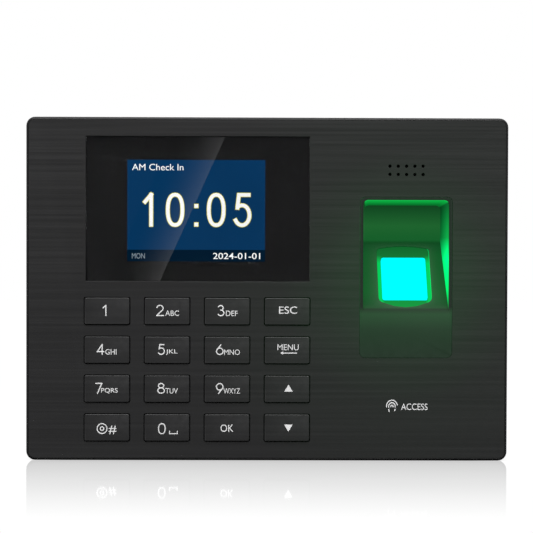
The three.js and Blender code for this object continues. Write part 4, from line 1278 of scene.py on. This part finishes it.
def studio_world():
    world = bpy.data.worlds.new("studio_world")
    world.use_nodes = True
    sky = world.node_tree
    direction = place_xyz(sky, "Generated")
    around = between(sky, direction["Y"], -0.45, -0.05, SKY_IN_FRONT, SKY_BEHIND)
    path = sky.nodes.new("ShaderNodeLightPath")
    strength = sky.nodes.new("ShaderNodeMix")
    sky.links.new(path.outputs["Is Camera Ray"], strength.inputs[0])
    sky.links.new(around, strength.inputs[2])
    strength.inputs[3].default_value = 1.0
    background = sky.nodes["Background"]
    background.inputs["Color"].default_value = (1, 1, 1, 1)
    sky.links.new(strength.outputs[0], background.inputs["Strength"])
    return world


bpy.context.scene.world = studio_world()
print("world made")

# %% [markdown]
# Four soft lights: a large one above and in front, a weak one from each side, and one from behind
# for the top edge. The side lights aren't mirrored by the lacquer, and the other two don't shine
# into the pane, where they would only make bright specks along its lower edge.

# %% Lights
def softbox(name, place, target, width, height, power):
    light = bpy.data.lights.new(name, "AREA")
    light.shape = "RECTANGLE"
    light.size = width
    light.size_y = height
    light.energy = power
    lamp = put_in_scene(name, light)
    lamp.location = place
    lamp.rotation_euler = (Vector(target) - Vector(place)).to_track_quat("-Z", "Y").to_euler()
    return lamp


top_light = softbox("top_light", (0.0, -0.9, 1.9), (0, 0, 0.07), 1.8, 1.2, 90)
top_light.visible_transmission = False
for light_name, side, power in (("left_light", -1, 10), ("right_light", 1, 8.5)):
    side_light = softbox(light_name, (0.95 * side, -0.8, 0.40), (0, 0, 0.06), 0.6, 0.6, power)
    side_light.visible_glossy = False
back_light = softbox("back_light", (0.1, 0.9, 0.7), (0, 0, 0.07), 1.0, 0.7, 12)
back_light.visible_transmission = False
print("lights made")

# %% [markdown]
# The diagonal sheen across the display is the mirror image of a slanted card behind the camera.
# The card is bright along one edge and fades across its width, and only reflections can see it.

# %% Reflector card
CARD_WIDTH = 56 * MM
CARD_LENGTH = 0.5
CARD_SLANT = math.radians(24.3)
CARD_EDGE = Vector((-79.8 * MM, -0.9, 137 * MM))


def reflector_card():
    across = Vector((math.cos(CARD_SLANT), 0, -math.sin(CARD_SLANT)))
    pick_none()
    bpy.ops.mesh.primitive_plane_add(size=1)
    card = bpy.context.object
    card.name = "reflector_card"
    card.scale = (CARD_WIDTH, CARD_LENGTH, 1)
    card.rotation_euler = (math.pi / 2, CARD_SLANT, 0)
    card.location = CARD_EDGE - across * CARD_WIDTH / 2
    return card


def card_glow(brightness):
    material, tree = bare_material("reflector_card")
    fading = math_node(tree, "POWER", between(tree, place_xyz(tree)["X"], -0.5, 0.5), 3.0)
    light = tree.nodes.new("ShaderNodeEmission")
    tree.links.new(math_node(tree, "MULTIPLY", fading, brightness), light.inputs["Strength"])
    out = tree.nodes.new("ShaderNodeOutputMaterial")
    tree.links.new(light.outputs["Emission"], out.inputs["Surface"])
    return material


card = reflector_card()
card.data.materials.append(card_glow(0.43))
card.visible_camera = False
card.visible_diffuse = False
card.visible_shadow = False
print("reflector card made")

# %% [markdown]
# ## Camera
# The camera stands half a metre in front of the face, slightly above the middle and almost square
# to it, with a short telephoto lens, so that the keypad keeps its right angles.

# %% Camera
CAMERA_DISTANCE = 485 * MM
CAMERA_X = -4.03 * MM
CAMERA_HEIGHT = 87.25 * MM
FOCAL_LENGTH = 78.98
YAW = math.radians(0.436)
PITCH = math.radians(-0.773)
ROLL = math.radians(0.177)
face_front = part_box("faceplate")[0].y
forward = Vector((math.sin(YAW) * math.cos(PITCH), math.cos(YAW) * math.cos(PITCH), math.sin(PITCH)))
level = forward.cross(Vector((0, 0, 1))).normalized()
upright = level.cross(forward)
right = level * math.cos(ROLL) + upright * math.sin(ROLL)
up = upright * math.cos(ROLL) - level * math.sin(ROLL)
camera = put_in_scene("camera", bpy.data.cameras.new("camera"))
camera.data.sensor_width = 36
camera.data.lens = FOCAL_LENGTH
camera.matrix_world = Matrix((
    (right.x, up.x, -forward.x, CAMERA_X),
    (right.y, up.y, -forward.y, face_front - CAMERA_DISTANCE),
    (right.z, up.z, -forward.z, CAMERA_HEIGHT),
    (0, 0, 0, 1)))
bpy.context.scene.camera = camera
bpy.context.scene.view_settings.view_transform = "Standard"
print("camera at", [round(v / MM, 1) for v in camera.location])
